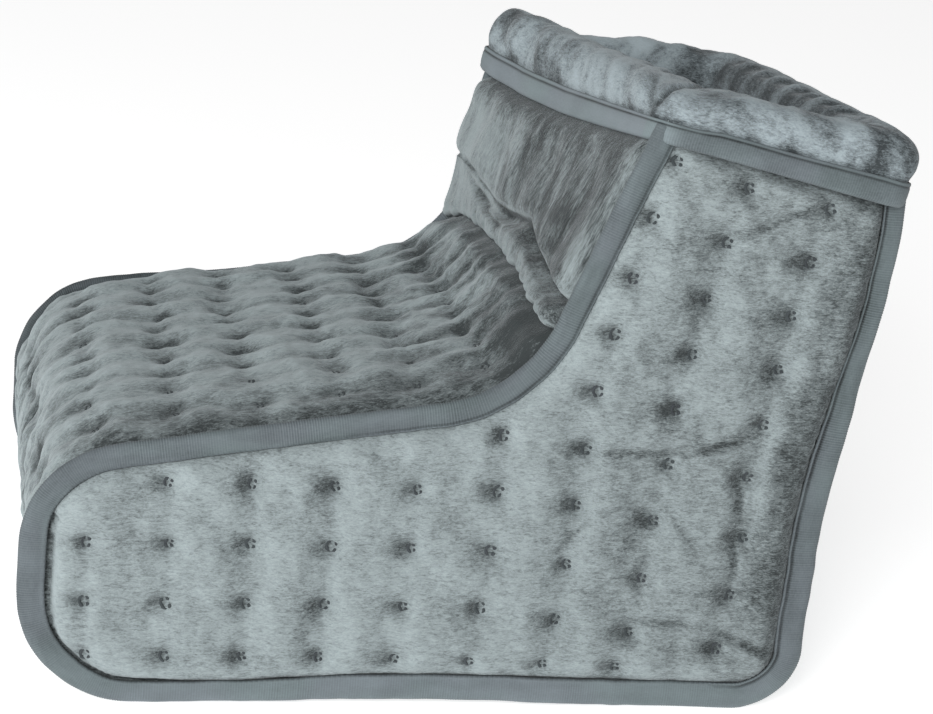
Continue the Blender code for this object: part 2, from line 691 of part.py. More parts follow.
def cuff_solids():
    """The turned-down cuff over the wall's top, and the tape on its lower edge."""
    inner_in = -cuff_inset
    outer_in = CUFF_THICKNESS - cuff_inset
    swell = outer_in + CUFF_BULGE
    wall_in = lining_depth + LINING + GAP
    leg_in = wall_in + CUFF_INNER_THICKNESS
    leg_y = lining_face - GAP
    tape_top = CUFF_TAPE_WIDTH - CUFF_HEIGHT
    deep = -CUFF_INNER_LEG
    crest = CUFF_DOME
    fold, outside, inside = CUFF_FOLD_RADII, CUFF_OUTER_RADII, CUFF_INNER_RADII
    y = cuff_side + cuff_inset
    middle_in = (leg_in - outer_in) / 2
    middle_y = (y + outer_in + leg_y - CUFF_INNER_THICKNESS) / 2
    rows = [
        (-outer_in, y + outer_in, -CUFF_HEIGHT, outside),
        (-outer_in, y + outer_in, tape_top, outside),
        (-swell, y + swell, tape_top / 2, outside),
        (-outer_in, y + outer_in, 0.0, outside),
        (-inner_in, y + inner_in, CREST_EDGE_SHARE * crest, outside),
        (middle_in, middle_y, crest, outside),
        (wall_in, leg_y, CREST_EDGE_SHARE * crest, inside),
        (leg_in, leg_y - CUFF_INNER_THICKNESS, 0.0, inside),
        (leg_in, leg_y - CUFF_INNER_THICKNESS, deep, inside),
        (wall_in, leg_y, deep, fold),
        (wall_in, leg_y, GAP, fold),
        (-inner_in, y + inner_in, GAP, fold),
        (-inner_in, y + inner_in, tape_top / 2, fold),
        (-inner_in, y + inner_in, tape_top, fold),
        (-inner_in, y + inner_in, -CUFF_HEIGHT, fold),
    ]
    skin("cuff", [mouth_ring(*row) for row in rows], plush, loop=True)
    low = -CUFF_HEIGHT - GAP - TAPE
    bound = outer_in + GAP + TAPE
    hem = inner_in - GAP - TAPE
    rows = [
        (-bound, y + bound, low, outside),
        (-bound, y + bound, tape_top - GAP, outside),
        (-bound + TAPE, y + bound - TAPE, tape_top - GAP, outside),
        (-bound + TAPE, y + bound - TAPE, low + TAPE, outside),
        (-hem - TAPE, y + hem + TAPE, low + TAPE, fold),
        (-hem - TAPE, y + hem + TAPE, tape_top - GAP, fold),
        (-hem, y + hem, tape_top - GAP, fold),
        (-hem, y + hem, low, fold),
    ]
    skin("cuff_binding", [mouth_ring(*row) for row in rows], tape_cloth, loop=True)


def tube(name, points, diameter, finish):
    """A round wire with filled ends along a list of points."""
    curve = bpy.data.curves.new(name, "CURVE")
    curve.dimensions = "3D"
    curve.bevel_depth = diameter / 2
    curve.bevel_resolution = 2
    curve.use_fill_caps = True
    spline = curve.splines.new("POLY")
    spline.points.add(len(points) - 1)
    for knot, point in zip(spline.points, points):
        knot.co = (*point, 1)
    wire = bpy.data.objects.new(name, curve)
    curve.materials.append(finish)
    parts.objects.link(wire)
    wire.parent = origin
    return wire


def smooth_route(knots, step):
    """Points every `step` or so on a smooth curve through the knots."""
    knots = [np.array(knot, dtype=float) for knot in knots]
    ends = [2 * knots[0] - knots[1]] + knots + [2 * knots[-1] - knots[-2]]
    points = [knots[0]]
    for before, start, end, after in zip(ends, ends[1:], ends[2:], ends[3:]):
        count = max(1, round(float(np.linalg.norm(end - start)) / step))
        for i in range(1, count + 1):
            t = i / count
            points.append(0.5 * (2 * start + (end - before) * t
                                 + (2 * before - 5 * start + 4 * end - after) * t ** 2
                                 + (3 * start - before - 3 * end + after) * t ** 3))
    return points


def box(name, low, high, rounding, finish):
    """A block between two corners with rounded edges."""
    bm = bmesh.new()
    bmesh.ops.create_cube(bm, size=1)
    low, high = Vector(low), Vector(high)
    for vertex in bm.verts:
        vertex.co = Vector((low[i] + (vertex.co[i] + 0.5) * (high[i] - low[i]) for i in range(3)))
    if rounding:
        bmesh.ops.bevel(bm, geom=bm.edges, offset=rounding, segments=2, affect="EDGES", profile=0.5)
    return finish_mesh(name, bm, finish, soft=False)


def rod(name, start, length, diameter, finish, sides=12):
    """A round bar along X."""
    bm = bmesh.new()
    bmesh.ops.create_cone(bm, cap_ends=True, segments=sides, radius1=diameter / 2,
                          radius2=diameter / 2, depth=length)
    piece = finish_mesh(name, bm, finish)
    piece.rotation_euler = (0, math.pi / 2, 0)
    piece.location = (start[0] + length / 2, start[1], start[2])
    return piece


def cut(piece, cutter):
    """Cut one piece with another, which is hidden and kept aside."""
    change = piece.modifiers.new("cut", "BOOLEAN")
    change.operation = "DIFFERENCE"
    change.solver = "EXACT"
    change.object = cutter
    parts.objects.unlink(cutter)
    cutters.objects.link(cutter)
    cutter.hide_render = True
    cutter.display_type = "WIRE"


def heater():
    """Carrier felt, wire and cover felt under the footbed, with cut-out, leads and splices."""
    floor = wadding_depth
    felt_places = [p for p in sole_places if p <= SOLE_RUN] + [place_of_x(-HEATER_BACK)]
    felt_width = wadding_face - GAP
    layer("heater_carrier", felt_places, floor, floor + FELT, felt_width, felt)
    cover_depth = lining_depth - GAP - FELT
    layer("heater_cover", felt_places, cover_depth, cover_depth + FELT, felt_width, felt)
    wire_z = (floor + FELT + cover_depth) / 2
    back = -HEATER_BACK + FELT_MARGIN
    front = TOE_SOLE_RADIUS - FOOT_LENGTH + WIRE_TOE_MARGIN
    radius = WIRE_PITCH / 2
    first_y = -WIRE_PITCH * (WIRE_RUNS - 1) / 2
    route = [(back, first_y, wire_z)]
    for run in range(WIRE_RUNS - 1):
        toe_end = run % 2 == 0
        centre_x = front + radius if toe_end else -HEATER_BACK - FELT_MARGIN - radius
        way = -1 if toe_end else 1
        centre_y = first_y + WIRE_PITCH * (run + 0.5)
        for i in range(WIRE_TURN_STEPS + 1):
            angle = math.pi * i / WIRE_TURN_STEPS
            route.append((centre_x + way * radius * math.sin(angle),
                          centre_y - radius * math.cos(angle), wire_z))
    route.append((back, -first_y, wire_z))
    tube("heating_wire", route, WIRE_DIAMETER, wire_cover)
    for name, y in (("splice_live", first_y), ("splice_neutral", -first_y)):
        sleeve = rod(name, (back - SPLICE_OVERLAP, y, wire_z), SPLICE_LENGTH, SPLICE_DIAMETER, metal)
        bore = rod(name + "_bore", (back - SPLICE_OVERLAP - OVERRUN, y, wire_z),
                   SPLICE_LENGTH + 2 * OVERRUN, WIRE_DIAMETER + 2 * GAP, metal)
        cut(sleeve, bore)
    leads(back + GAP, first_y, wire_z)


def place_of_x(x):
    """Place on the sole's straight run at a given x."""
    start, end = base_path.at(SOLE_RUN)[0][0], base_path.at(HEEL_BEND)[0][0]
    return SOLE_RUN + (x - start) / (end - start)


def leads(joint_x, first_y, wire_z):
    """Leads from the inlet's pins down the heel, under the footbed, to the splices."""
    lead_path = SidePath(lining_depth - GAP - LEAD_DIAMETER / 2)
    pin_y = PIN_SPACING / 2
    low, high = lead_path.at(HEEL_BEND + 1)[0], lead_path.at(HEEL_BEND + 2)[0]
    top_share = (INLET_HEIGHT + LEAD_DIAMETER - low[1]) / (high[1] - low[1])
    down = [lead_path.at(HEEL_BEND + 1 + top_share * (1 - i / LEAD_KNOTS))[0] for i in range(LEAD_KNOTS)]
    down += [lead_path.at(HEEL_BEND + 1 - i / LEAD_KNOTS)[0] for i in range(LEAD_KNOTS + 1)]
    cut_low = -CUTOUT_BACK - CUTOUT_LENGTH / 2
    cut_high = -CUTOUT_BACK + CUTOUT_LENGTH / 2
    reach = -first_y - pin_y
    tail_x = joint_x + SPLICE_LENGTH
    tail = [(tail_x, -first_y - LEAD_DIAMETER / 2), (tail_x - SPLICE_OVERLAP, -first_y), (joint_x, -first_y)]
    live = [(float(x), -pin_y, float(z)) for x, z in down]
    live += [(cut_high + 3 * LEAD_DIAMETER, -pin_y, wire_z), (cut_high + GAP, -pin_y, wire_z)]
    tube("lead_live", smooth_route(live, LEAD_STEP), LEAD_DIAMETER, lead_cover)
    neutral = [(float(x), pin_y, float(z)) for x, z in down]
    neutral += [(-LEAD_LAY, pin_y + reach * share, wire_z) for share in NEUTRAL_LAY_SHARES]
    neutral += [(x, y, wire_z) for x, y in tail]
    tube("lead_neutral", smooth_route(neutral, LEAD_STEP), LEAD_DIAMETER, lead_cover)
    half_wide = CUTOUT_WIDTH / 2
    box("thermal_cutout", (cut_low, -pin_y - half_wide, wire_z - CUTOUT_HEIGHT / 2),
        (cut_high, -pin_y + half_wide, wire_z + CUTOUT_HEIGHT / 2), CUTOUT_ROUND, ceramic)
    bay_x = -HEATER_BACK + GAP + LEAD_DIAMETER
    stops = (bay_x, bay_x + LEAD_DIAMETER, -CUTOUT_BACK, tail_x + LEAD_DIAMETER)
    link = [(cut_low - GAP, -pin_y, wire_z), (cut_low - GAP - LEAD_DIAMETER, -pin_y, wire_z)]
    link += [(x, -pin_y - reach * share, wire_z) for x, share in zip(stops, LINK_LAY_SHARES)]
    link += [(x, -y, wire_z) for x, y in tail]
    tube("lead_link", smooth_route(link, LEAD_STEP), LEAD_DIAMETER, lead_cover)


def inlet(heel_panel, heel_wadding):
    """Backing patch, socket housing and contact pins, let into the heel."""
    surface = -FLANGE + HEEL_CROWN
    half_wide, half_tall = INLET_WIDTH / 2, INLET_TALL / 2
    inner_end = -(wadding_depth + HEEL_WADDING)
    hole_low = (inner_end - OVERRUN, -half_wide - GAP, INLET_HEIGHT - half_tall - GAP)
    hole_high = (INLET_STAND + OVERRUN, half_wide + GAP, INLET_HEIGHT + half_tall + GAP)
    for number, piece in enumerate((heel_panel, heel_wadding)):
        cut(piece, box(f"inlet_hole_{number}", hole_low, hole_high, 0.0, metal))
    patch_x = surface + GAP
    wide, tall = half_wide + PATCH_MARGIN, half_tall + PATCH_MARGIN
    patch = rounded_plate("inlet_patch", patch_x, wide, tall, PATCH_RADIUS, PATCH_THICKNESS, tape_cloth)
    cut(patch, box("patch_hole", hole_low, hole_high, 0.0, metal))
    rim_x = patch_x + PATCH_THICKNESS + GAP
    body = box("inlet_housing", (inner_end, -half_wide, INLET_HEIGHT - half_tall),
               (INLET_STAND, half_wide, INLET_HEIGHT + half_tall), INLET_ROUND, plastic)
    rim = box("inlet_rim", (rim_x, -half_wide - INLET_RIM, INLET_HEIGHT - half_tall - INLET_RIM),
              (rim_x + INLET_RIM_THICKNESS, half_wide + INLET_RIM, INLET_HEIGHT + half_tall + INLET_RIM),
              0.0, plastic)
    join = body.modifiers.new("join", "BOOLEAN")
    join.operation = "UNION"
    join.solver = "EXACT"
    join.object = rim
    parts.objects.unlink(rim)
    cutters.objects.link(rim)
    rim.hide_render = True
    rim.display_type = "WIRE"
    cavity_floor = inner_end + 2 * INLET_WALL
    cavity = box("inlet_cavity",
                 (cavity_floor, -half_wide + INLET_WALL, INLET_HEIGHT - half_tall + INLET_WALL),
                 (INLET_STAND + OVERRUN, half_wide - INLET_WALL, INLET_HEIGHT + half_tall - INLET_WALL),
                 0.0, plastic)
    cut(body, cavity)
    pin_start = inner_end
    pin_length = INLET_STAND - PIN_RECESS - pin_start
    for name, hand in (("inlet_pin_live", -1), ("inlet_pin_neutral", 1)):
        y = hand * PIN_SPACING / 2
        bore = rod(name + "_bore", (pin_start - OVERRUN, y, INLET_HEIGHT), pin_length,
                   PIN_DIAMETER + 2 * GAP, metal)
        cut(body, bore)
        rod(name, (pin_start, y, INLET_HEIGHT), pin_length, PIN_DIAMETER, metal)


def rounded_plate(name, x, half_wide, half_tall, radius, thickness, finish):
    """A plate across X with rounded corners, centred on the inlet."""
    ring = []
    for corner, (hand_y, hand_z) in enumerate(((1, 1), (-1, 1), (-1, -1), (1, -1))):
        for i in range(CORNER_STEPS + 1):
            angle = math.pi / 2 * (corner + i / CORNER_STEPS)
            ring.append((hand_y * (half_wide - radius) + radius * math.cos(angle),
                         INLET_HEIGHT + hand_z * (half_tall - radius) + radius * math.sin(angle)))
    rings = [[(x + depth, y, z) for y, z in ring] for depth in (0.0, thickness)]
    return skin(name, rings, finish)


def centre_origin():
    """Move the empty so that the origin is under the middle of the part, on the floor."""
    bpy.context.view_layer.update()
    graph = bpy.context.evaluated_depsgraph_get()
    lows, highs = [], []
    for piece in parts.objects:
        if piece.type == "EMPTY":
            continue
        shape = piece.evaluated_get(graph)
        mesh = shape.to_mesh()
        points = np.array([shape.matrix_world @ vertex.co for vertex in mesh.vertices])
        lows.append(points.min(axis=0))
        highs.append(points.max(axis=0))
        shape.to_mesh_clear()
    low, high = np.min(lows, axis=0), np.max(highs, axis=0)
    origin.location = (-(low[0] + high[0]) / 2, -(low[1] + high[1]) / 2, -low[2])


for old in list(bpy.data.objects):
    bpy.data.objects.remove(old, do_unlink=True)

parts = bpy.data.collections.new("foot_warmer")
cutters = bpy.data.collections.new("foot_warmer_cutters")
bpy.context.scene.collection.children.link(parts)
bpy.context.scene.collection.children.link(cutters)
origin = bpy.data.objects.new("foot_warmer_origin", None)
parts.objects.link(origin)

plush = material("plush", PLUSH)
dark_plush = material("dark_plush", DARK_PLUSH)
tape_cloth = material("ribbed_tape", TAPE_COLOUR, 0.8)
wadding = material("polyester_wadding", WADDING_COLOUR)
felt = material("felt", FELT_COLOUR)
sole_cloth = material("sole_cloth", SOLE_COLOUR, 0.9)
wire_cover = material("heating_wire_cover", WIRE_COLOUR, 0.4)
lead_cover = material("lead_cover", LEAD_COLOUR, 0.4)
metal = material("tinned_metal", METAL_COLOUR, 0.3, 1.0)
ceramic = material("cutout_case", WADDING_COLOUR, 0.5)
plastic = material("black_plastic", PLASTIC_COLOUR, 0.4)

binding_places_to_mouth = [0.0, binding_places[0] - SEAM_SHARE] + binding_places
binding_places_to_mouth += [binding_places[-1] + SEAM_SHARE, float(PATH_END)]

for side_name, side in (("left", -1), ("right", 1)):
    side_panel("side_panel_" + side_name, side)
    binding("binding_" + side_name, side)
    side_slab("wadding_" + side_name, side, wadding_depth, wadding_face, ply_inner - GAP, wadding)
    side_slab("lining_" + side_name, side, lining_depth, lining_face, wadding_face - GAP, dark_plush)

quilt_columns = (INSTEP_TUFT_COLUMNS + 1) * TUFT_STEPS
gusset_panel("instep_panel", instep_places, quilt_columns, instep_rise, plush)
gusset_panel("ankle_panel", ankle_places, ANKLE_COLUMNS, ankle_rise, plush)
heel_panel = gusset_panel("heel_panel", heel_places, quilt_columns, heel_rise, plush)
sole_solid()
sole_wadding()

strip_width = wadding_face - GAP
pile_width = lining_face - GAP
batting = (wadding_depth, wadding_depth + WADDING)
pile = (lining_depth, lining_depth + LINING)
front_places = shrink_ends(ankle_places + instep_places[1:])
heel_batting = (wadding_depth, wadding_depth + HEEL_WADDING)
layer("wadding_ankle", shrink_ends(ankle_places), *batting, strip_width, wadding)
layer("wadding_instep", shrink_ends(instep_places), *batting, strip_width, wadding)
heel_wadding = layer("wadding_heel", shrink_ends(heel_places), *heel_batting, strip_width, wadding)
layer("lining_front", front_places, *pile, pile_width, dark_plush)
layer("lining_heel", shrink_ends(heel_places), *pile, pile_width, dark_plush)
layer("footbed", shrink_ends(sole_places), lining_depth, lining_depth + FOOTBED, pile_width, dark_plush)

cuff_solids()
heater()
inlet(heel_panel, heel_wadding)
centre_origin()
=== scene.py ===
"""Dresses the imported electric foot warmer: quilted plush, ribbed tape, cuff, lining and light.

Lengths are in millimetres from the back of the heel, as in the part's source, until a mesh is made.
`s` is the length along the seam's outer edge in the side view, from the mouth's front down the shaft,
over the instep, round the toe, along the sole and up the heel to the mouth's back.
"""
import math

import bmesh
import bpy
import numpy as np
from mathutils import Matrix, Vector


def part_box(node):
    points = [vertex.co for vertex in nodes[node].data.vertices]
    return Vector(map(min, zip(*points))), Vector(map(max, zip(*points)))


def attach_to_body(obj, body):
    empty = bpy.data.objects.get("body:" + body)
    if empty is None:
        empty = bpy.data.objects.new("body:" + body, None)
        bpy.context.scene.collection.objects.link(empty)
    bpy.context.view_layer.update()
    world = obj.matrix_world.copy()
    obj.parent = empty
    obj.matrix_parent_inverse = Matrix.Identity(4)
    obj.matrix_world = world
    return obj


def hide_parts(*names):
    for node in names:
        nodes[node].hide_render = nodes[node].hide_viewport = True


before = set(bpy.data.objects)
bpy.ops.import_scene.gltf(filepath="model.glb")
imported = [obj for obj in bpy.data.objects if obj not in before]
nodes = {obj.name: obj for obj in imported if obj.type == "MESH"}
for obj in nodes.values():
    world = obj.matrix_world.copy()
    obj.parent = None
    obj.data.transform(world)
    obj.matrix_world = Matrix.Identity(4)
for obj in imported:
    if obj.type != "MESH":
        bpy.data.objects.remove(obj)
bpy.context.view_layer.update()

MM = 0.001

# Side view of the seam's outer edge: x, z and corner radius, as in the part's source
EDGE = (
    (-86.0, 263.0, 0.0),
    (-132.0, 137.0, 55.0),
    (-325.0, 104.0, 43.0),
    (-325.0, 0.0, 48.0),
    (0.0, 0.0, 28.0),
    (0.0, 90.0, 300.0),
    (14.0, 196.0, 300.0),
    (14.0, 241.5, 0.0),
)
FOOT_LENGTH = 325.0
SEAM_WIDTH = 211.0
SETTLE_HEIGHT = 150.0
MOUTH_FRONT_HEIGHT = 263.0
MOUTH_SKEW = 21.0
MOUTH_DROP = 15.5
MOUTH_FRONT_DROP = 5.0
BACK_EDGE = 14.0
MOUTH_DEPTH = 100.0
ARCH_LIFT = 2.6
ARCH_MIDDLE = -160.0
ARCH_REACH = 80.0
FAR_SAG = 3.2
ANKLE_SEAM_SHARE = 0.15
TOE_SEAM_SHARE = 0.5
HEEL_SEAM_SHARE = 0.55

# Layers: insets from the edge in the side view, and distances from the middle plane
FLANGE = 9.0
LINING_INSET = 16.6
CLOTH_SIDE = 106.2
BATTING_SIDE = 102.6
LINING_SIDE = 96.6
GUSSET_SIDE = 104.0
GUSSET_LIP = 0.6
BATTING_HALF_WIDTH = 98.6
LINING_HALF_WIDTH = 95.6
TAPE_WIDTH = 9.0
CUFF_HEIGHT = 19.0
PLUSH_MARGIN = 3.0
BATTING_MARGIN = 12.5
LINING_MARGIN = 18.0
PLUSH_THICKNESS = 1.6
SIDE_BATTING_THICKNESS = 3.4
LINING_THICKNESS = 1.5

# Shares of a layer that its fibres fill
PLUSH_FILL = 0.5
WADDING_FILL = 0.4
LINING_FILL = 0.3

# Fineness of the soft meshes and of what shapes them
FINE = 1.3
COARSE = 4.0
LINING_STEP = 2.0
EDGE_STEP = 0.5
SEARCH_STEP = 2.0
WAVE_COUNT = 16

# Ribs of the tape, and the least value of the shade attribute
RIB_PITCH = 1.05
RIB_HEIGHT = 0.12
RIB_STEPS = 3
DARKEST = 0.02

origin_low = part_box("binding_left")[0]
ORIGIN = np.array((origin_low.x / MM + FOOT_LENGTH, 0.0, origin_low.z / MM))


def smooth(distance, width=1.0):
    """Ease from 0 to 1 while the distance runs from 0 to the width."""
    share = np.clip(distance / width, 0.0, 1.0)
    return share * share * (3 - 2 * share)


def hump(distance, width):
    """A soft bump that is one at zero distance and fades over the width."""
    return np.exp(-(distance / width) ** 2)


def waves(across, along, size, seed, stretch=1.0):
    """Smooth seeded unevenness of about the given size, between about -1 and 1."""
    draw = np.random.default_rng(seed)
    total = np.zeros(np.broadcast(across, along).shape)
    for _ in range(WAVE_COUNT):
        angle = draw.uniform(0, 2 * math.pi)
        rate = 2 * math.pi / size * draw.uniform(0.6, 1.5)
        phase = draw.uniform(0, 2 * math.pi)
        total += np.sin(rate * (across * math.cos(angle) + along * math.sin(angle) / stretch) + phase)
    return total / math.sqrt(WAVE_COUNT)


def unit(vector):
    return vector / np.linalg.norm(vector)


def rounded(distance, width):
    """Quarter-round rise from 0 at zero distance to 1 at the width."""
    share = np.clip(distance / width, 0, 1)
    return np.sqrt(1 - (1 - share) ** 2)


def catmull(a, b, c, d, t):
    """Catmull-Rom curve from b to c."""
    return 0.5 * (2 * b + (c - a) * t + (2 * a - 5 * b + 4 * c - d) * t ** 2
                  + (3 * b - a - 3 * c + d) * t ** 3)


class Edge:
    """The seam's outer edge, with points, outward normals and lengths."""

    def __init__(self):
        corners = [np.array(row[:2]) for row in EDGE]
        ways = [unit(b - a) for a, b in zip(corners, corners[1:])]
        points, normals, starts = [], [], []
        start = corners[0]
        for i in range(1, len(corners) - 1):
            radius = EDGE[i][2]
            turn = math.atan2(ways[i - 1][0] * ways[i][1] - ways[i - 1][1] * ways[i][0],
                              float(ways[i - 1] @ ways[i]))
            side = math.copysign(1.0, turn)
            reach = radius * math.tan(abs(turn) / 2)
            bend = corners[i] - ways[i - 1] * reach
            normal = np.array((ways[i - 1][1], -ways[i - 1][0]))
            points += self.straight(start, bend)[:-1]
            normals += [normal] * (len(points) - len(normals))
            starts.append(len(points))
            centre = bend - normal * radius * side
            count = max(2, int(abs(turn) * radius / EDGE_STEP))
            for angle in np.linspace(0, turn, count)[:-1]:
                turned = np.array((normal[0] * math.cos(angle) - normal[1] * math.sin(angle),
                                   normal[0] * math.sin(angle) + normal[1] * math.cos(angle)))
                points.append(centre + turned * radius * side)
                normals.append(turned)
            start = corners[i] + ways[i] * reach
            starts.append(len(points))
        points += self.straight(start, corners[-1])
        normals += [np.array((ways[-1][1], -ways[-1][0]))] * (len(points) - len(normals))
        self.points = np.array(points)
        self.normals = np.array(normals)
        gaps = np.linalg.norm(np.diff(self.points, axis=0), axis=1)
        self.lengths = np.concatenate([[0.0], np.cumsum(gaps)])
        self.total = float(self.lengths[-1])
        self.marks = [0.0] + [float(self.lengths[i]) for i in starts] + [self.total]

    @staticmethod
    def straight(start, end):
        """Points from start to end."""
        count = max(2, int(np.linalg.norm(end - start) / EDGE_STEP))
        return [start * (1 - share) + end * share for share in np.linspace(0, 1, count)]

    def place(self, stretch, share):
        """Length at a share of one stretch, straight ones and bends counted by turns."""
        return self.marks[stretch] + (self.marks[stretch + 1] - self.marks[stretch]) * share

    def at(self, s, inset):
        """Points (x, z) at lengths s, `inset` inside the edge."""
        s = np.asarray(s, float)
        point = [np.interp(s, self.lengths, self.points[:, i]) for i in (0, 1)]
        normal = [np.interp(s, self.lengths, self.normals[:, i]) for i in (0, 1)]
        size = np.hypot(*normal)
        return point[0] - normal[0] / size * inset, point[1] - normal[1] / size * inset


edge = Edge()
ANKLE_SEAM = edge.place(1, ANKLE_SEAM_SHARE)
TOE_TOP = edge.place(3, 0.5)
TOE_SEAM = edge.place(5, TOE_SEAM_SHARE)
HEEL_SEAM = edge.place(7, HEEL_SEAM_SHARE)
FLAT_START = edge.place(6, 0.0)
FLAT_END = edge.place(7, 0.0)
MOUTH_START = np.array(EDGE[0][:2])
MOUTH_END = np.array(EDGE[-1][:2])
MOUTH_WAY = unit(MOUTH_END - MOUTH_START)


def settle(x, y, z):
    """Lean and sink the far side of the soft shaft, and lift the long edges of the sole a little."""
    rise = smooth((z - SETTLE_HEIGHT) / (MOUTH_FRONT_HEIGHT - SETTLE_HEIGHT))
    far = 0.5 + y / SEAM_WIDTH
    forward = (BACK_EDGE - x) / MOUTH_DEPTH
    drop = MOUTH_DROP + MOUTH_FRONT_DROP * forward
    lift = ARCH_LIFT * hump(x - ARCH_MIDDLE, ARCH_REACH)
    lift = lift * smooth(np.abs(y) - 60, 40) * smooth(45 - z, 45)
    sag = FAR_SAG * smooth(y + 20, 110) * smooth(x + 278, 60) * smooth(-45 - x, 45)
    sag = sag * smooth(z - 45, 35) * smooth(185 - z, 60)
    back = 1.3 * smooth(y, 100) * smooth(-300 - x, 20)
    return x - MOUTH_SKEW * rise * far * forward + back, y + 0 * x, z - drop * rise * far + lift - sag


def to_part(x, y, z):
    """Settled millimetres from the heel as metres in the part's frame."""
    points = np.stack(np.broadcast_arrays(*settle(x, y, z)), axis=-1) + ORIGIN
    return points * MM


def inside_distance(x, z):
    """Signed distance inside the seam's outer edge, and the length s of its nearest point."""
    xs, zs = edge.at(np.arange(0.0, edge.total, SEARCH_STEP), 0.0)
    near = np.full(x.shape, 1e9)
    best = np.zeros(x.shape, int)
    for i, (px, pz) in enumerate(zip(xs, zs)):
        gap = np.hypot(x - px, z - pz)
        best = np.where(gap < near, i, best)
        near = np.minimum(near, gap)
    nx, nz = edge.at(best * SEARCH_STEP, 1.0)
    px, pz = xs[best], zs[best]
    return (x - px) * (nx - px) + (z - pz) * (nz - pz), best * SEARCH_STEP


def mesh_piece(name, points, faces, finish, cloth, shade=None):
    """An object from arrays of points and faces, with the material's own coordinates."""
    mesh = bpy.data.meshes.new(name)
    faces = np.asarray(faces, np.int32)
    mesh.vertices.add(len(points))
    mesh.vertices.foreach_set("co", np.ascontiguousarray(points, np.float32).ravel())
    mesh.loops.add(faces.size)
    mesh.loops.foreach_set("vertex_index", faces.ravel())
    mesh.polygons.add(len(faces))
    mesh.polygons.foreach_set("loop_start", np.arange(0, faces.size, faces.shape[1], dtype=np.int32))
    mesh.update(calc_edges=True)
    mesh.validate()
    mesh.shade_smooth()
    values = mesh.attributes.new("cloth", "FLOAT_VECTOR", "POINT")
    values.data.foreach_set("vector", np.ascontiguousarray(cloth * MM, np.float32).ravel())
    if shade is None:
        shade = np.full(len(points), 0.5)
    values = mesh.attributes.new("shade", "FLOAT", "POINT")
    values.data.foreach_set("value", np.ascontiguousarray(shade, np.float32).ravel())
    mesh.materials.append(finish)
    piece = bpy.data.objects.new(name, mesh)
    bpy.context.scene.collection.objects.link(piece)
    return piece


def grid_faces(rows, columns, loop_rows=False, loop_columns=False, keep=None):
    """Quads of a grid of points, left out where keep is false at a corner."""
    numbers = np.arange(rows * columns).reshape(rows, columns)
    down = np.roll(numbers, -1, 0) if loop_rows else numbers[1:]
    base = numbers if loop_rows else numbers[:-1]
    right, down_right = np.roll(base, -1, 1), np.roll(down, -1, 1)
    quads = np.stack([base, right, down_right, down], -1)
    if not loop_columns:
        quads = quads[:, :-1]
    quads = quads.reshape(-1, 4)
    if keep is not None:
        quads = quads[keep.ravel()[quads].all(axis=1)]
    return quads


def blurred(grid, reach):
    """Box blur over `reach` steps each way, twice, so that it is nearly round."""
    for _ in range(2):
        for axis in (0, 1):
            pad = [(0, 0), (0, 0)]
            pad[axis] = (reach + 1, reach)
            total = np.cumsum(np.pad(grid, pad, mode="edge"), axis=axis)
            size = 2 * reach + 1
            ahead = np.take(total, np.arange(size, total.shape[axis]), axis=axis)
            behind = np.take(total, np.arange(total.shape[axis] - size), axis=axis)
            grid = (ahead - behind) / size
    return grid


def shading(height, painted_shade, step, nap_and_slope_shade=(0.0, 0.0), hollows=0.05):
    """Painted shade of the pile: darker in hollows, lighter or darker on slopes by how they face the
    light.
    """
    reach = max(1, round(5.0 / step))
    hollow = height - blurred(height, reach)
    first, second = np.gradient(height, step)
    slope = nap_and_slope_shade[0] * first + nap_and_slope_shade[1] * second
    return np.clip(0.5 + hollows * hollow + slope - painted_shade, DARKEST, 1.0)


def wear(piece, slot, *replaced, fill=None):
    """Attach a piece to the boot and hide the nodes that it replaces."""
    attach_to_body(piece, "root")
    if replaced:
        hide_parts(*replaced)


def layer(piece, thickness, slot, replaced, fill):
    """Give a sheet its thickness, inwards, and attach it."""
    change = piece.modifiers.new("thickness", "SOLIDIFY")
    change.thickness = thickness * MM
    change.offset = -1.0
    wear(piece, slot, replaced, fill=fill)


def mesh_from(name, points, faces, finish, cloth, shade):
    """An object from grids of settled points, cloth coordinates and shades, without unused points."""
    used = np.unique(faces)
    fresh = np.zeros(shade.size, int)
    fresh[used] = np.arange(len(used))
    points, cloth = points.reshape(-1, 3)[used], cloth.reshape(-1, 3)[used]
    return mesh_piece(name, points, fresh[faces], finish, cloth, shade.reshape(-1)[used])


def across_round(y, width):
    """Rounded long edges of a sheet across the boot."""
    return rounded(GUSSET_SIDE - GUSSET_LIP - np.abs(y), width)


def gusset_sheet(name, s_values, ys, rise, finish, inset=FLANGE, keep=None, flip=False, nap_and_slope_shade=(0.0, 0.0),
                 hollows=0.05, shadow=None):
    """A sheet across the boot: rows at lengths s, columns at y, raised by rise(s, y)."""
    s, y = np.meshgrid(s_values, ys, indexing="ij")
    height, painted_shade = rise(s, y)
    shade = shading(height, painted_shade, ys[1] - ys[0], nap_and_slope_shade, hollows)
    if shadow is not None:
        shade = shade - shadow(s, y)
    x, z = edge.at(s, inset - height)
    quads = grid_faces(*s.shape, keep=None if keep is None else keep(x, y, z))
    if flip:
        quads = quads[:, ::-1]
    return mesh_from(name, to_part(x, y, z), quads, finish, np.stack([s, y, height], -1), shade)


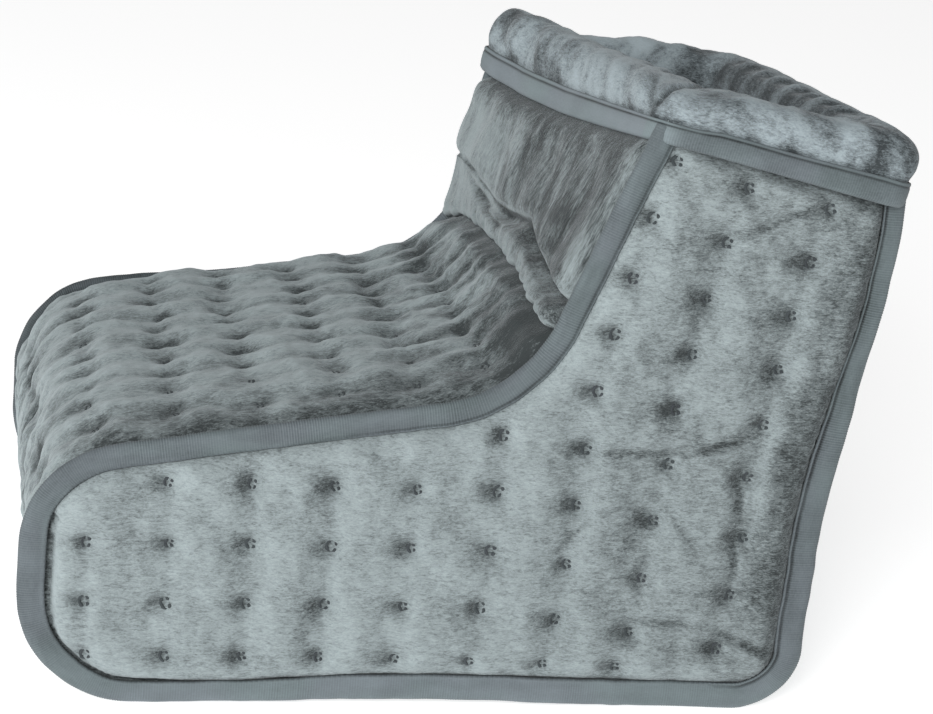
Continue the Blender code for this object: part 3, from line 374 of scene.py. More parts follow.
def side_sheet(name, side, face, finish, margin, rise, step=FINE, flip=False, nap_and_slope_shade=(0.0, 0.0)):
    """A sheet over the side view at |y| = face, raised outwards by rise(x, z, inside, s)."""
    xs = np.arange(-FOOT_LENGTH, BACK_EDGE + step, step)
    zs = np.arange(0.0, MOUTH_FRONT_HEIGHT + step, step)
    x, z = np.meshgrid(xs, zs, indexing="ij")
    inside, s = inside_distance(x, z)
    below_mouth = mouth_distance(x, z)
    keep = (inside > margin) & (below_mouth > 1.0)
    height, painted_shade = rise(x, z, inside, s)
    shade = shading(height, painted_shade, step, nap_and_slope_shade)
    quads = grid_faces(*x.shape, keep=keep)
    if (side < 0) != flip:
        quads = quads[:, ::-1]
    loose = keep & (inside < margin + step)
    target_x, target_z = edge.at(s, margin)
    near_x, near_z = np.where(loose, target_x, x), np.where(loose, target_z, z)
    points = to_part(near_x, side * (face + height), near_z)
    return mesh_from(name, points, quads, finish, np.stack([x, z, height], -1), shade)


def seam_spread(s):
    """How much wider the tape lies than its plain width at the toe, along the sole and up the heel."""
    toe = 1.3 * smooth(s - TOE_TOP - 10, 20) * (1 - 0.7 * smooth(s - TOE_SEAM, 30))
    sole = 2.7 * smooth(s - edge.place(6, 0.1), 80)
    return toe + sole * (1 - 1.2 * smooth(s - edge.place(10, 0.0), 60))


def mouth_distance(x, z):
    """Distance below the line of the mouth in the side view."""
    return (x - MOUTH_START[0]) * MOUTH_WAY[1] - (z - MOUTH_START[1]) * MOUTH_WAY[0]


# Finishes
def node_tree(name, roughness=0.9, metallic=0.0, colour=(0.5, 0.5, 0.5)):
    """A Principled material, its node tree and its shader."""
    finish = bpy.data.materials.new(name)
    finish.use_nodes = True
    tree = finish.node_tree
    shader = tree.nodes["Principled BSDF"]
    shader.inputs["Base Color"].default_value = (*colour, 1)
    shader.inputs["Roughness"].default_value = roughness
    shader.inputs["Metallic"].default_value = metallic
    return finish, tree, shader


def attach(tree, kind, **values):
    """A node with its sockets and options set, sockets by name with _ for a space."""
    node = tree.nodes.new(kind)
    for key, value in values.items():
        socket = next((s for s in node.inputs if s.name.replace(" ", "_") == key and s.enabled), None)
        if socket is None:
            setattr(node, key, value)
        else:
            feed(tree, socket, value)
    return node


def feed(tree, socket, value):
    """Link a socket to another one, or set its value."""
    if isinstance(value, bpy.types.NodeSocket):
        tree.links.new(value, socket)
    else:
        socket.default_value = value


def coordinates(tree, scale, turn=0.0, source="cloth"):
    """The cloth's own coordinates in millimetres, scaled and turned for one texture."""
    if source == "cloth":
        start = attach(tree, "ShaderNodeAttribute", attribute_name="cloth").outputs["Vector"]
    else:
        start = tree.nodes.new("ShaderNodeTexCoord").outputs["Object"]
    mapping = attach(tree, "ShaderNodeMapping", Vector=start)
    mapping.inputs["Rotation"].default_value = (0.0, 0.0, turn)
    mapping.inputs["Scale"].default_value = [value / MM for value in scale]
    return mapping.outputs["Vector"]


def noise(tree, scale, detail=2.0, turn=0.0, source="cloth", roughness=0.5, distortion=0.0):
    """A noise pattern whose features are as large as 1 / scale in millimetres."""
    return attach(tree, "ShaderNodeTexNoise", Vector=coordinates(tree, scale, turn, source), Scale=1.0,
                  Detail=detail, Roughness=roughness, Distortion=distortion).outputs["Fac"]


def remap(tree, value, low, high, to_low, to_high):
    return attach(tree, "ShaderNodeMapRange", Value=value, From_Min=low, From_Max=high, To_Min=to_low,
                  To_Max=to_high).outputs["Result"]


def blend_colour(tree, factor, first, second):
    """Mix two colours, given as tuples or sockets, by a factor."""
    node = tree.nodes.new("ShaderNodeMix")
    node.data_type = "RGBA"
    feed(tree, node.inputs[0], factor)
    for socket, colour in ((node.inputs[6], first), (node.inputs[7], second)):
        feed(tree, socket, colour if isinstance(colour, bpy.types.NodeSocket) else (*colour, 1))
    return node.outputs[2]


def mottle(tree, shader, pattern, low, high, colour, dark, light=1.0):
    """Colour from a dark to a light share of itself while the pattern runs from low to high."""
    share = remap(tree, pattern, low, high, 0.0, 1.0)
    shown = blend_colour(tree, share, [c * dark for c in colour], [c * light for c in colour])
    tree.links.new(shown, shader.inputs["Base Color"])


def emboss(tree, shader, height, strength, depth):
    """Bump by a height socket, with its depth in millimetres."""
    node = attach(tree, "ShaderNodeBump", Height=height, Strength=strength, Distance=depth * MM)
    tree.links.new(node.outputs["Normal"], shader.inputs["Normal"])


def own_shade(tree):
    return attach(tree, "ShaderNodeAttribute", attribute_name="shade").outputs["Fac"]


def tone_of(tree, *parts):
    """Sum of (value, low, high, share) parts round a middle of one half."""
    total = 0.5
    for value, low, high, share in parts:
        part = remap(tree, value, low, high, -share, share)
        node = attach(tree, "ShaderNodeMath", operation="ADD")
        tree.links.new(part, node.inputs[0])
        feed(tree, node.inputs[1], total)
        total = node.outputs[0]
    return total


def ramp(tree, value, *stops):
    """Colours by place from 0 to 1."""
    node = attach(tree, "ShaderNodeValToRGB")
    tree.links.new(value, node.inputs["Fac"])
    elements = node.color_ramp.elements
    elements[0].position, elements[1].position = stops[0][0], stops[-1][0]
    elements[0].color, elements[1].color = (*stops[0][1], 1), (*stops[-1][1], 1)
    for place, colour in stops[1:-1]:
        elements.new(place).color = (*colour, 1)
    return node.outputs["Color"]


def scaled(colour, amount):
    return tuple(min(1.0, c * amount) for c in colour)


# Tones from dark to light: place in the ramp and share of the colour
PLUSH_TONES = ((0.0, 0.16), (0.25, 0.55), (0.5, 1.0), (0.75, 1.26), (1.0, 1.42))
TAPE_TONES = ((0.0, 0.12), (0.5, 1.0), (1.0, 1.7))
TAPE_HUES = ((0.975, 1.015, 0.98), (1.005, 0.998, 1.0))
SHEEN_TINT = (0.86, 0.92, 0.95, 1)


def toned(tree, tone, colour, tones):
    """A colour by its tone from 0 to 1."""
    return ramp(tree, tone, *[(place, scaled(colour, share)) for place, share in tones])


def plush(name, colour, nap_and_slope_shade=0.0, streaks=0.11, clouds=0.07, shades=0.42):
    """Short-pile plush: streaks along the pile, cloudy patches, painted shade in hollows, fibre bump and
    sheen.
    """
    finish, tree, shader = node_tree(name, 0.95)
    streak = noise(tree, (0.5, 2.3, 1.0), 3.0, nap_and_slope_shade, "cloth", 0.65, 0.5)
    fibre = noise(tree, (0.8, 1.7, 1.5), 2.0, nap_and_slope_shade + 0.2, "cloth", 0.6, 0.9)
    clump = noise(tree, (0.22, 0.6, 0.5), 2.0, nap_and_slope_shade - 0.15, "cloth", 0.5, 0.8)
    cloud = noise(tree, (0.05, 0.06, 0.05), 3.0, 0.4, "cloth", 0.6)
    tone = tone_of(tree, (streak, 0.3, 0.7, streaks), (fibre, 0.25, 0.75, streaks * 1.3),
                   (clump, 0.3, 0.7, streaks * 0.85), (cloud, 0.35, 0.65, clouds),
                   (own_shade(tree), -0.5, 1.5, 2 * shades))
    tree.links.new(toned(tree, tone, colour, PLUSH_TONES), shader.inputs["Base Color"])
    pile = tone_of(tree, (streak, 0.0, 1.0, 0.5), (fibre, 0.0, 1.0, 0.3), (clump, 0.0, 1.0, 0.5))
    emboss(tree, shader, pile, 0.45, 0.7)
    shader.inputs["Sheen Weight"].default_value = 0.3
    shader.inputs["Sheen Roughness"].default_value = 0.4
    shader.inputs["Sheen Tint"].default_value = SHEEN_TINT
    shader.inputs["Specular IOR Level"].default_value = 0.1
    return finish


def tape_finish(name, colour):
    """Ribbed grosgrain tape: threads across the ribs, darker in its grooves by painted shade."""
    finish, tree, shader = node_tree(name, 0.75)
    strand = noise(tree, (0.5, 3.0, 1.0), 2.0)
    wear_and_painted_light = noise(tree, (0.05, 0.16, 0.1), 3.0)
    tone = tone_of(tree, (strand, 0.3, 0.7, 0.06), (wear_and_painted_light, 0.35, 0.65, 0.08),
                   (own_shade(tree), 0.0, 1.0, 0.5))
    hues = [toned(tree, tone, [c * h for c, h in zip(colour, hue)], TAPE_TONES) for hue in TAPE_HUES]
    faded = noise(tree, (0.02, 0.05, 0.05), 2.0, 0.3)
    shown = blend_colour(tree, remap(tree, faded, 0.4, 0.6, 0.0, 1.0), *hues)
    tree.links.new(shown, shader.inputs["Base Color"])
    emboss(tree, shader, strand, 0.3, 0.1)
    shader.inputs["Sheen Weight"].default_value = 0.1
    shader.inputs["Specular IOR Level"].default_value = 0.2
    return finish


def fibre_finish(name, colour, size=1.2):
    """Matted fibres, for wadding and felt."""
    finish, tree, shader = node_tree(name, 1.0)
    fibre = noise(tree, (1 / size,) * 3, 5.0, 0.0, "object", 0.65, 1.5)
    mottle(tree, shader, fibre, 0.35, 0.65, colour, 0.8)
    emboss(tree, shader, fibre, 0.4, 0.5)
    shader.inputs["Sheen Weight"].default_value = 0.2
    return finish


def moulded(name, colour, roughness=0.4, metallic=0.0, grain=0.25):
    """Moulded plastic, rubber or drawn metal with fine grain and a little unevenness."""
    finish, tree, shader = node_tree(name, roughness, metallic, colour)
    speck = noise(tree, (1 / grain,) * 3, 2.0, 0.0, "object")
    patch = noise(tree, (0.09, 0.09, 0.09), 3.0, 0.0, "object")
    mottle(tree, shader, patch, 0.3, 0.7, colour, 0.85)
    wear_and_painted_light = remap(tree, patch, 0.3, 0.7, roughness * 0.85, roughness * 1.2)
    tree.links.new(wear_and_painted_light, shader.inputs["Roughness"])
    emboss(tree, shader, speck, 0.12, 0.1)
    return finish


def sole_finish(name, colour):
    """Woven sole cloth with rows of small grip dots."""
    finish, tree, shader = node_tree(name, 0.85)
    weave = noise(tree, (1.1, 1.1, 1.0), 2.0)
    mottle(tree, shader, weave, 0.3, 0.7, colour, 0.75, 1.25)
    emboss(tree, shader, weave, 0.5, 0.3)
    return finish


PLUSH = (0.272, 0.315, 0.323)
# The vamp's plush is painted 1.2 times as light and the ankle's 0.85 times, for how light falls on them.
side_plush = plush("plush_side", PLUSH, streaks=0.135)
vamp_plush = plush("plush_vamp", scaled(PLUSH, 1.2), streaks=0.11, clouds=0.12)
ankle_plush = plush("plush_ankle", scaled(PLUSH, 0.85), nap_and_slope_shade=0.25, streaks=0.17, clouds=0.08, shades=0.6)
# The cuff's plush is a little bluer, and painted lighter for how the light falls on the cuff.
cuff_plush = plush("plush_cuff", (0.301, 0.353, 0.376), nap_and_slope_shade=1.3, streaks=0.12, clouds=0.16)
# The lining's plush is dark, partly painted shade for the inside of the boot.
lining_plush = plush("plush_lining", (0.11, 0.13, 0.137), streaks=0.12)
tape_cloth = tape_finish("tape_ribbed", (0.129, 0.152, 0.165))
# The tuft thread is dark, partly standing for the shadow in each tuft's dimple.
thread = tape_finish("thread_dark", (0.055, 0.064, 0.07))
wadding = fibre_finish("wadding_polyester", (0.85, 0.85, 0.83))
felt = fibre_finish("felt_needled", (0.72, 0.69, 0.63), 0.6)
sole_cloth = sole_finish("sole_cloth_grip", (0.10, 0.105, 0.11))


# Rows of side tufts: first column, number, x and z of the first, pitch, columns at the row's own height
# and drop of each further one
TUFT_ROWS = (
    (0, 8, -297.2, 21.6, 31.0, 3, 0.6),
    (0, 8, -298.9, 45.0, 31.8, 6, 5.0),
    (0, 8, -299.4, 70.4, 32.2, 6, 5.4),
    (1, 7, -269.0, 95.9, 32.8, 5, 5.5),
    (5, 4, -138.4, 120.2, 34.6, 1, 5.2),
    (6, 3, -102.2, 139.8, 35.6, 1, 5.5),
    (6, 3, -98.2, 163.8, 35.2, 1, 5.8),
    (6, 3, -93.8, 187.0, 34.0, 1, 6.0),
    (6, 3, -88.8, 211.6, 33.7, 1, 7.0),
    (6, 3, -82.0, 234.6, 32.5, 1, 7.4),
)
HEEL_COLUMN_GAP = 6.5
HEEL_COLUMN_DROP = 1.5
LAST_COLUMN = 8
# The shaft's last columns lie a little off the grid: (x, z) by column
SHAFT_ROWS = range(5, 10)
SHAFT_NUDGES = {7: (-2.5, -1.4), 8: (-0.9, -0.8)}


def side_tufts():
    """Places of the side's tufts by (column, row)."""
    places = {}
    for row, (first, number, x, z, pitch, level, drop) in enumerate(TUFT_ROWS):
        for i in range(number):
            places[first + i, row] = (x + pitch * i, z - drop * max(0, i - level + 1))
    for row in (1, 2, 3):
        x, z = places[LAST_COLUMN - 1, row]
        gap = TUFT_ROWS[row][4] + HEEL_COLUMN_GAP
        places[LAST_COLUMN, row] = (x + gap, z - TUFT_ROWS[row][6] - HEEL_COLUMN_DROP)
    for column, (ahead, up) in SHAFT_NUDGES.items():
        for row in SHAFT_ROWS:
            x, z = places[column, row]
            places[column, row] = (x + ahead, z + up)
    return places


def segment_distance(x, z, start, end):
    """From a segment: distance, positive on its right going up, share along it and reach beyond it."""
    way = np.array(end) - np.array(start)
    length = np.linalg.norm(way)
    way = way / length
    along = (x - start[0]) * way[0] + (z - start[1]) * way[1]
    aside = (x - start[0]) * way[1] - (z - start[1]) * way[0]
    share = np.clip(along / length, 0, 1)
    beyond = np.maximum(np.abs(along - length / 2) - length / 2, 0)
    return aside, share, beyond


# Pulls in the plush: start, end, depth and reach on the side that fades, the other one breaks sharply
SIDE_CREASES = (
    ((-99.0, 114.0), (-60.0, 113.4), 1.5, 5.0),
    ((-60.0, 113.4), (-34.0, 122.8), 2.5, 6.0),
    ((-28.5, 31.0), (-14.0, 25.2), 2.2, 4.0),
    ((-38.6, 36.0), (-28.7, 30.3), 1.4, 4.0),
    ((-23.8, 117.3), (-12.2, 115.9), 1.5, 4.0),
    ((-26.6, 104.6), (-13.5, 107.6), 1.3, 4.0),
    ((-36.9, 58.0), (-36.6, 82.0), 1.6, 7.0),
    ((-35.6, 84.0), (-38.6, 110.0), 1.8, 7.0),
    ((-75.5, 40.0), (-42.5, 39.2), 1.2, 4.5),
    ((-58.1, 204.3), (-38.5, 210.5), 1.3, 5.0),
    ((-40.8, 209.6), (-20.6, 220.0), 1.5, 5.0),
    ((-72.0, 96.0), (-52.0, 72.0), 0.9, 6.0),
    ((-118.0, 62.0), (-96.0, 88.0), 0.9, 6.0),
)
SIDE_PUFF = 5.8
tuft_places = side_tufts()


def side_rise(x, z, inside, s, seed=3):
    """Swell of the quilted side, and how much painted shade lies on each point."""
    drop = np.zeros(x.shape)
    painted_shade = np.zeros(x.shape)
    warp_x = x + 1.3 * waves(x, z, 26, seed) + 0.5 * waves(x, z, 9, seed + 1)
    warp_z = z + 1.3 * waves(x, z, 24, seed + 2) + 0.5 * waves(x, z, 8, seed + 3)
    draw = np.random.default_rng(seed)
    for (column, row), (tx, tz) in tuft_places.items():
        gap = np.hypot((x - tx) * np.where(x < tx, 0.78, 1.2), (z - tz) * np.where(z > tz, 0.85, 1.1))
        drop = np.maximum(drop, 0.85 * np.exp(-(gap / draw.uniform(5.6, 6.8)) ** 1.35))
        # Painted shadow: a dark halo on the left of each tuft, where its dimple turns from the light.
        halo = np.hypot((x - tx + 3.2) / draw.uniform(4.4, 6.2), (z - tz - 0.8) / draw.uniform(3.4, 4.6))
        painted_shade = np.maximum(painted_shade, draw.uniform(0.2, 0.3) * hump(halo, 1.0))
        for step, depth in (((0, 1), 0.42), ((1, 0), 0.2)):
            following = tuft_places.get((column + step[0], row + step[1]))
            if following is None:
                continue
            aside, share, beyond = segment_distance(warp_x, warp_z, (tx, tz), following)
            width = np.where(aside < 0, 8.5, 3.4) if step[0] == 0 else np.where(aside < 0, 4.5, 6.5)
            strength = depth * draw.uniform(0.7, 1.25) * (1 - 0.45 * np.sin(math.pi * share))
            valley = strength * np.exp(-np.abs(aside / width) ** 1.5) * hump(beyond, 5.0)
            drop = np.maximum(drop, valley) + 0.2 * np.minimum(drop, valley)
    parting = 3.6 * smooth(s - TOE_TOP - 9, 6) * (1 - 0.62 * smooth(s - TOE_TOP - 45, 50))
    parting = parting * (1 - smooth(s - FLAT_START, 30)) * (1 + 0.2 * waves(x, z, 17, seed + 9))
    from_tape = inside - TAPE_WIDTH - seam_spread(s)
    rim_swell = rounded(from_tape - 0.8 * parting, 9.0)
    groove = hump(from_tape - 2.5, 4.0) * 0.9
    open_seam = smooth(parting - from_tape, 0.9) * smooth(parting, 0.8)
    swell = SIDE_PUFF * rim_swell * (1 - 0.92 * np.minimum(drop, 1))
    swell += rim_swell * (0.7 * waves(x, z, 34, seed + 4) + 0.22 * waves(x, z, 11, seed + 5))
    swell += rim_swell * 0.06 * waves(x, z, 4.5, seed + 6, 0.5)
    height = swell - groove * (inside > 6)
    height = np.where(from_tape < 0, np.minimum(height, 0.0), height)
    height = height * (1 - open_seam) - 1.6 * open_seam * (from_tape > -2)
    bent_x = x + 0.9 * waves(x, z, 40, seed + 7)
    bent_z = z + 0.9 * waves(x, z, 40, seed + 8)
    for start, end, depth, wide in SIDE_CREASES:
        aside, share, beyond = segment_distance(bent_x, bent_z, start, end)
        fade = np.sin(math.pi * np.clip(share * 0.8 + 0.1, 0, 1)) * hump(beyond, 4.0)
        height = height - depth * np.where(aside < 0, hump(aside, wide), hump(aside, 1.8)) * fade
        # Painted shade: a dark line along each crease, and a lighter lip beside it.
        painted_shade = np.maximum(painted_shade, 0.19 * depth * hump(aside + 0.6, 1.9) * fade)
        painted_shade = painted_shade - 0.05 * depth * hump(aside - 3.4, 2.4) * fade
    # Painted shadows along the tape at the bottom and in the open seam by the toe.
    low = smooth(16 - z, 8)
    painted_shade = painted_shade + hump(from_tape - 0.3, 1.9) * (0.45 * low + 0.12)
    painted_shade = painted_shade + open_seam * (0.5 + 0.55 * hump(from_tape, 1.2))
    # Painted shade: darker towards the shaft and on the rear strip, which turns from the light.
    behind = smooth(x + 44 - 0.105 * z, 13)
    wear_and_painted_light = 0.18 + 0.16 * smooth(150 - z, 40) - 0.2 * smooth(55 - z, 25)
    painted_shade = painted_shade + 0.12 * smooth(x + 150, 100) + behind * wear_and_painted_light
    below_cuff = smooth(mouth_distance(x, z) - CUFF_HEIGHT - 1, 7)
    height = np.minimum(height, 0.8) * (1 - below_cuff) + height * below_cuff
    return height, painted_shade


def flat_rise(amount, size, seed):
    """Gentle unevenness for the layers inside."""
    def rise(a, b, *_):
        return amount * waves(a, b, size, seed), np.zeros(a.shape)
    return rise


for side, word in ((-1, "left"), (1, "right")):
    cloth = side_sheet(f"side_cloth_{word}", side, CLOTH_SIDE, side_plush, PLUSH_MARGIN, side_rise,
                       nap_and_slope_shade=(0.28, 0.0))
    layer(cloth, PLUSH_THICKNESS, "plush", f"side_panel_{word}", PLUSH_FILL)
    batting = side_sheet(f"batting_{word}", side, BATTING_SIDE, wadding, BATTING_MARGIN,
                         flat_rise(0.15, 22, 31), COARSE)
    layer(batting, SIDE_BATTING_THICKNESS, "wadding", f"wadding_{word}", WADDING_FILL)


def lining_rise(x, z, *_):
    """Loose vertical folds of the lining inside the shaft."""
    high = smooth(z - 120, 90)
    fold = np.sin((x + 0.25 * z) / 7.0 + 1.4 * waves(x, z, 60, 51)) * hump(waves(x, z, 45, 52), 0.8)
    return -(1.4 * high * fold + 0.5 * waves(x, z, 22, 53)), np.zeros(x.shape)


for side, word in ((-1, "left"), (1, "right")):
    sheet = side_sheet(f"lining_cloth_{word}", side, LINING_SIDE, lining_plush, LINING_MARGIN,
                       lining_rise, LINING_STEP, flip=True)
    layer(sheet, LINING_THICKNESS, "lining_plush", f"lining_{word}", LINING_FILL)


# The tape's section round the seam: inset from the edge and |y|, how far its ribs show, and its shade
# where the stitched bead shows and, for its first points, where it doesn't
TAPE_SECTION = (
    (9.3, 106.95), (9.25, 107.7), (8.8, 107.95), (8.3, 107.5), (7.8, 107.3), (7.1, 107.9), (5.0, 108.15),
    (3.0, 108.1), (1.4, 107.8), (0.4, 107.1), (-0.1, 106.2), (-0.25, 105.5), (-0.1, 104.8), (0.4, 103.9),
    (1.4, 103.2), (3.0, 102.95), (6.0, 102.9), (8.8, 103.0), (8.9, 104.0), (1.6, 104.1), (1.2, 105.5),
    (1.6, 106.9),
)
TAPE_RIBBED = (0, 0.3, 0.2, 0.4, 0.6, 0.8, 0.8, 0.8, 0.9, 1, 1, 1, 1, 1, 1, 1, 1, 0.5, 0, 0, 0, 0)
TAPE_SHADES = (0.1, 0.3, 0.6, 0.15, 0.1, 0.45, *[0.5] * 11, 0.3, *[0.1] * 4)
TAPE_PLAIN_SHADES = (0.05, 0.2, 0.4, 0.46, 0.5, 0.5)
TAPE_END_GAP = 15.0


def binding_tape(name, side):
    """Ribbed tape folded over the seam, with a stitched bead along its outer leg."""
    s = np.arange(TAPE_END_GAP, edge.total - TAPE_END_GAP, RIB_PITCH / RIB_STEPS)
    section, shown = np.array(TAPE_SECTION), np.array(TAPE_RIBBED)
    dark, plain = np.array(TAPE_SHADES), np.array(TAPE_PLAIN_SHADES)
    way = np.roll(section, -1, 0) - np.roll(section, 1, 0)
    outward = np.stack([way[:, 1], -way[:, 0]], -1)
    outward /= np.linalg.norm(outward, axis=1)[:, None]
    centre = section.mean(axis=0)
    outward *= np.sign(((section - centre) * outward).sum(axis=1))[:, None]
    number = np.arange(len(s))
    rib = RIB_HEIGHT * np.cos(2 * math.pi * number / RIB_STEPS)
    draw = np.random.default_rng(11 if side < 0 else 12)
    rib = rib * np.repeat(draw.uniform(0.55, 1.15, len(s) // RIB_STEPS + 1), RIB_STEPS)[:len(s)]
    rib = rib * (0.9 + 0.25 * waves(s, 0 * s, 45, 67 + side))
    wobble = 0.35 * waves(s, 0 * s, 55, 61 + side) + 0.15 * waves(s, 0 * s, 17, 65 + side)
    sway = 0.45 * waves(s, 0 * s, 70, 71 + side) + 0.12 * waves(s, 0 * s, 14, 75 + side)
    beaded = 0.7 * smooth(edge.place(2, 0.5) - s, 60) + smooth(s - edge.place(6, 0.92), 40)
    wide = 1 + seam_spread(s)[:, None] / section[0, 0] * (section[:, 1] > 106.92)
    ribs = rib[:, None] * shown
    insets = section[None, :, 0] * wide + ribs * outward[:, 0] + wobble[:, None] * 0.6
    ys = section[None, :, 1] + ribs * outward[:, 1] + sway[:, None]
    ys[:, 3:5] += 0.4 * (1 - beaded[:, None])
    ys[:, 2] += 0.28 * np.cos(2 * math.pi * number / (2 * RIB_STEPS))
    points = []
    for inset, y in zip(insets.T, ys.T):
        x, z = edge.at(s, inset)
        points.append(to_part(x, side * y, np.maximum(z, 0.0)))
    points = np.stack(points, 1)
    across = np.cumsum(np.r_[0, np.linalg.norm(np.diff(section, axis=0), axis=1)])
    cloth = np.stack(np.broadcast_arrays(s[:, None], across[None], 0.0), -1)
    quads = grid_faces(*points.shape[:2], loop_columns=True)
    if side > 0:
        quads = quads[:, ::-1]
    # Painted shade: dark grooves and edges, lighter rib crests, lighter along the sole, darker on the
    # far toe.
    shade = np.tile(dark, (len(s), 1))
    shade[:, :6] = plain + (dark[:6] - plain) * beaded[:, None]
    far_toe = 0.25 * (side > 0) * smooth(s - TOE_TOP + 100, 60) * smooth(TOE_TOP + 70 - s, 40)
    sole_light = smooth(s - edge.place(5, 0.3), 50) * smooth(edge.place(8, 0.5) - s, 60)
    lit = 0.17 * sole_light[:, None] * (shade > 0.42)
    shade = shade + 0.16 * (rib / RIB_HEIGHT)[:, None] * shown + lit
    shade = np.maximum(shade - far_toe[:, None], DARKEST)
    piece = mesh_piece(name, points.reshape(-1, 3), quads, tape_cloth, cloth.reshape(-1, 3), shade)
    cap_ends(piece, len(s), len(section))
    return piece


def cap_ends(piece, rows, columns):
    """Close both ends of a swept mesh."""
    bm = bmesh.new()
    bm.from_mesh(piece.data)
    bm.verts.ensure_lookup_table()
    bm.faces.new([bm.verts[i] for i in range(columns)])
    bm.faces.new([bm.verts[(rows - 1) * columns + i] for i in reversed(range(columns))])
    bmesh.ops.recalc_face_normals(bm, faces=bm.faces)
    bm.to_mesh(piece.data)
    bm.free()


for side, word in ((-1, "left"), (1, "right")):
    wear(binding_tape(f"tape_{word}", side), "binding_tape", f"binding_{word}")


# How far the soft cuff hangs or stands off its plain shape: (place, height) along each side of the mouth
HEM_FRONT = ((-113, -0.5), (-60, -4.5), (0, -8.5), (55, -9.5), (90, -7.5), (113, -5.0))
HEM_FAR_REACH = 60.0
RIM_FRONT = ((-113, -5.0), (-60, -3.0), (0, -1.0), (60, 1.0), (100, 3.0))
RIM_NEAR = ((0, -5.0), (10, -3.5), (20, -1.0), (34, -0.6), (50, -0.6), (70, 1.0), (90, 2.5), (102, 2.0))
RIM_FAR = ((0, 2.5), (6, -4.0), (18, -7.5), (34, -4.8), (55, -0.8), (102, 0.0))
CUFF_HALF_WIDTH = 113.0
RIM_LEVEL = 6.0

# Lengths s of the roll's lower edge and of the crease above it: (y, s)
ROLL_EDGE = ((-104, 106), (-80, 104.5), (-54, 102), (-36, 100.5), (-6, 101.5), (36, 104), (70, 108.5),
             (96, 117), (104, 119))
CREASE = ((-104, 95), (-72, 92), (-46, 87.5), (-24, 82), (6, 87), (30, 88), (70, 84), (104, 84))


def table(rows, value):
    """Value of a table of (place, value) rows between its places."""
    return np.interp(value, *zip(*rows))


# Lengths s of the rows of tufts on instep and toe
VAMP_ROWS = (139.0, 168.0, 199.0, 232.5, 264.0, 296.0, 327.0, 358.0, 388.0)
VAMP_PITCH = 18.7
VAMP_COLUMNS = 10


def column_y(column):
    """Place across the boot of a column of tufts."""
    return VAMP_PITCH * (column - (VAMP_COLUMNS - 1) / 2)


def vamp_tufts():
    """Places (s, y) of the tufts on instep and toe."""
    draw = np.random.default_rng(21)
    places = []
    for s in VAMP_ROWS:
        lean = draw.uniform(-3, 3)
        for column in range(VAMP_COLUMNS):
            y = column_y(column)
            places.append((s + draw.uniform(-1.5, 1.5) + lean * y / 100, y + draw.uniform(-1.5, 1.5)))
    return places


vamp_places = vamp_tufts()


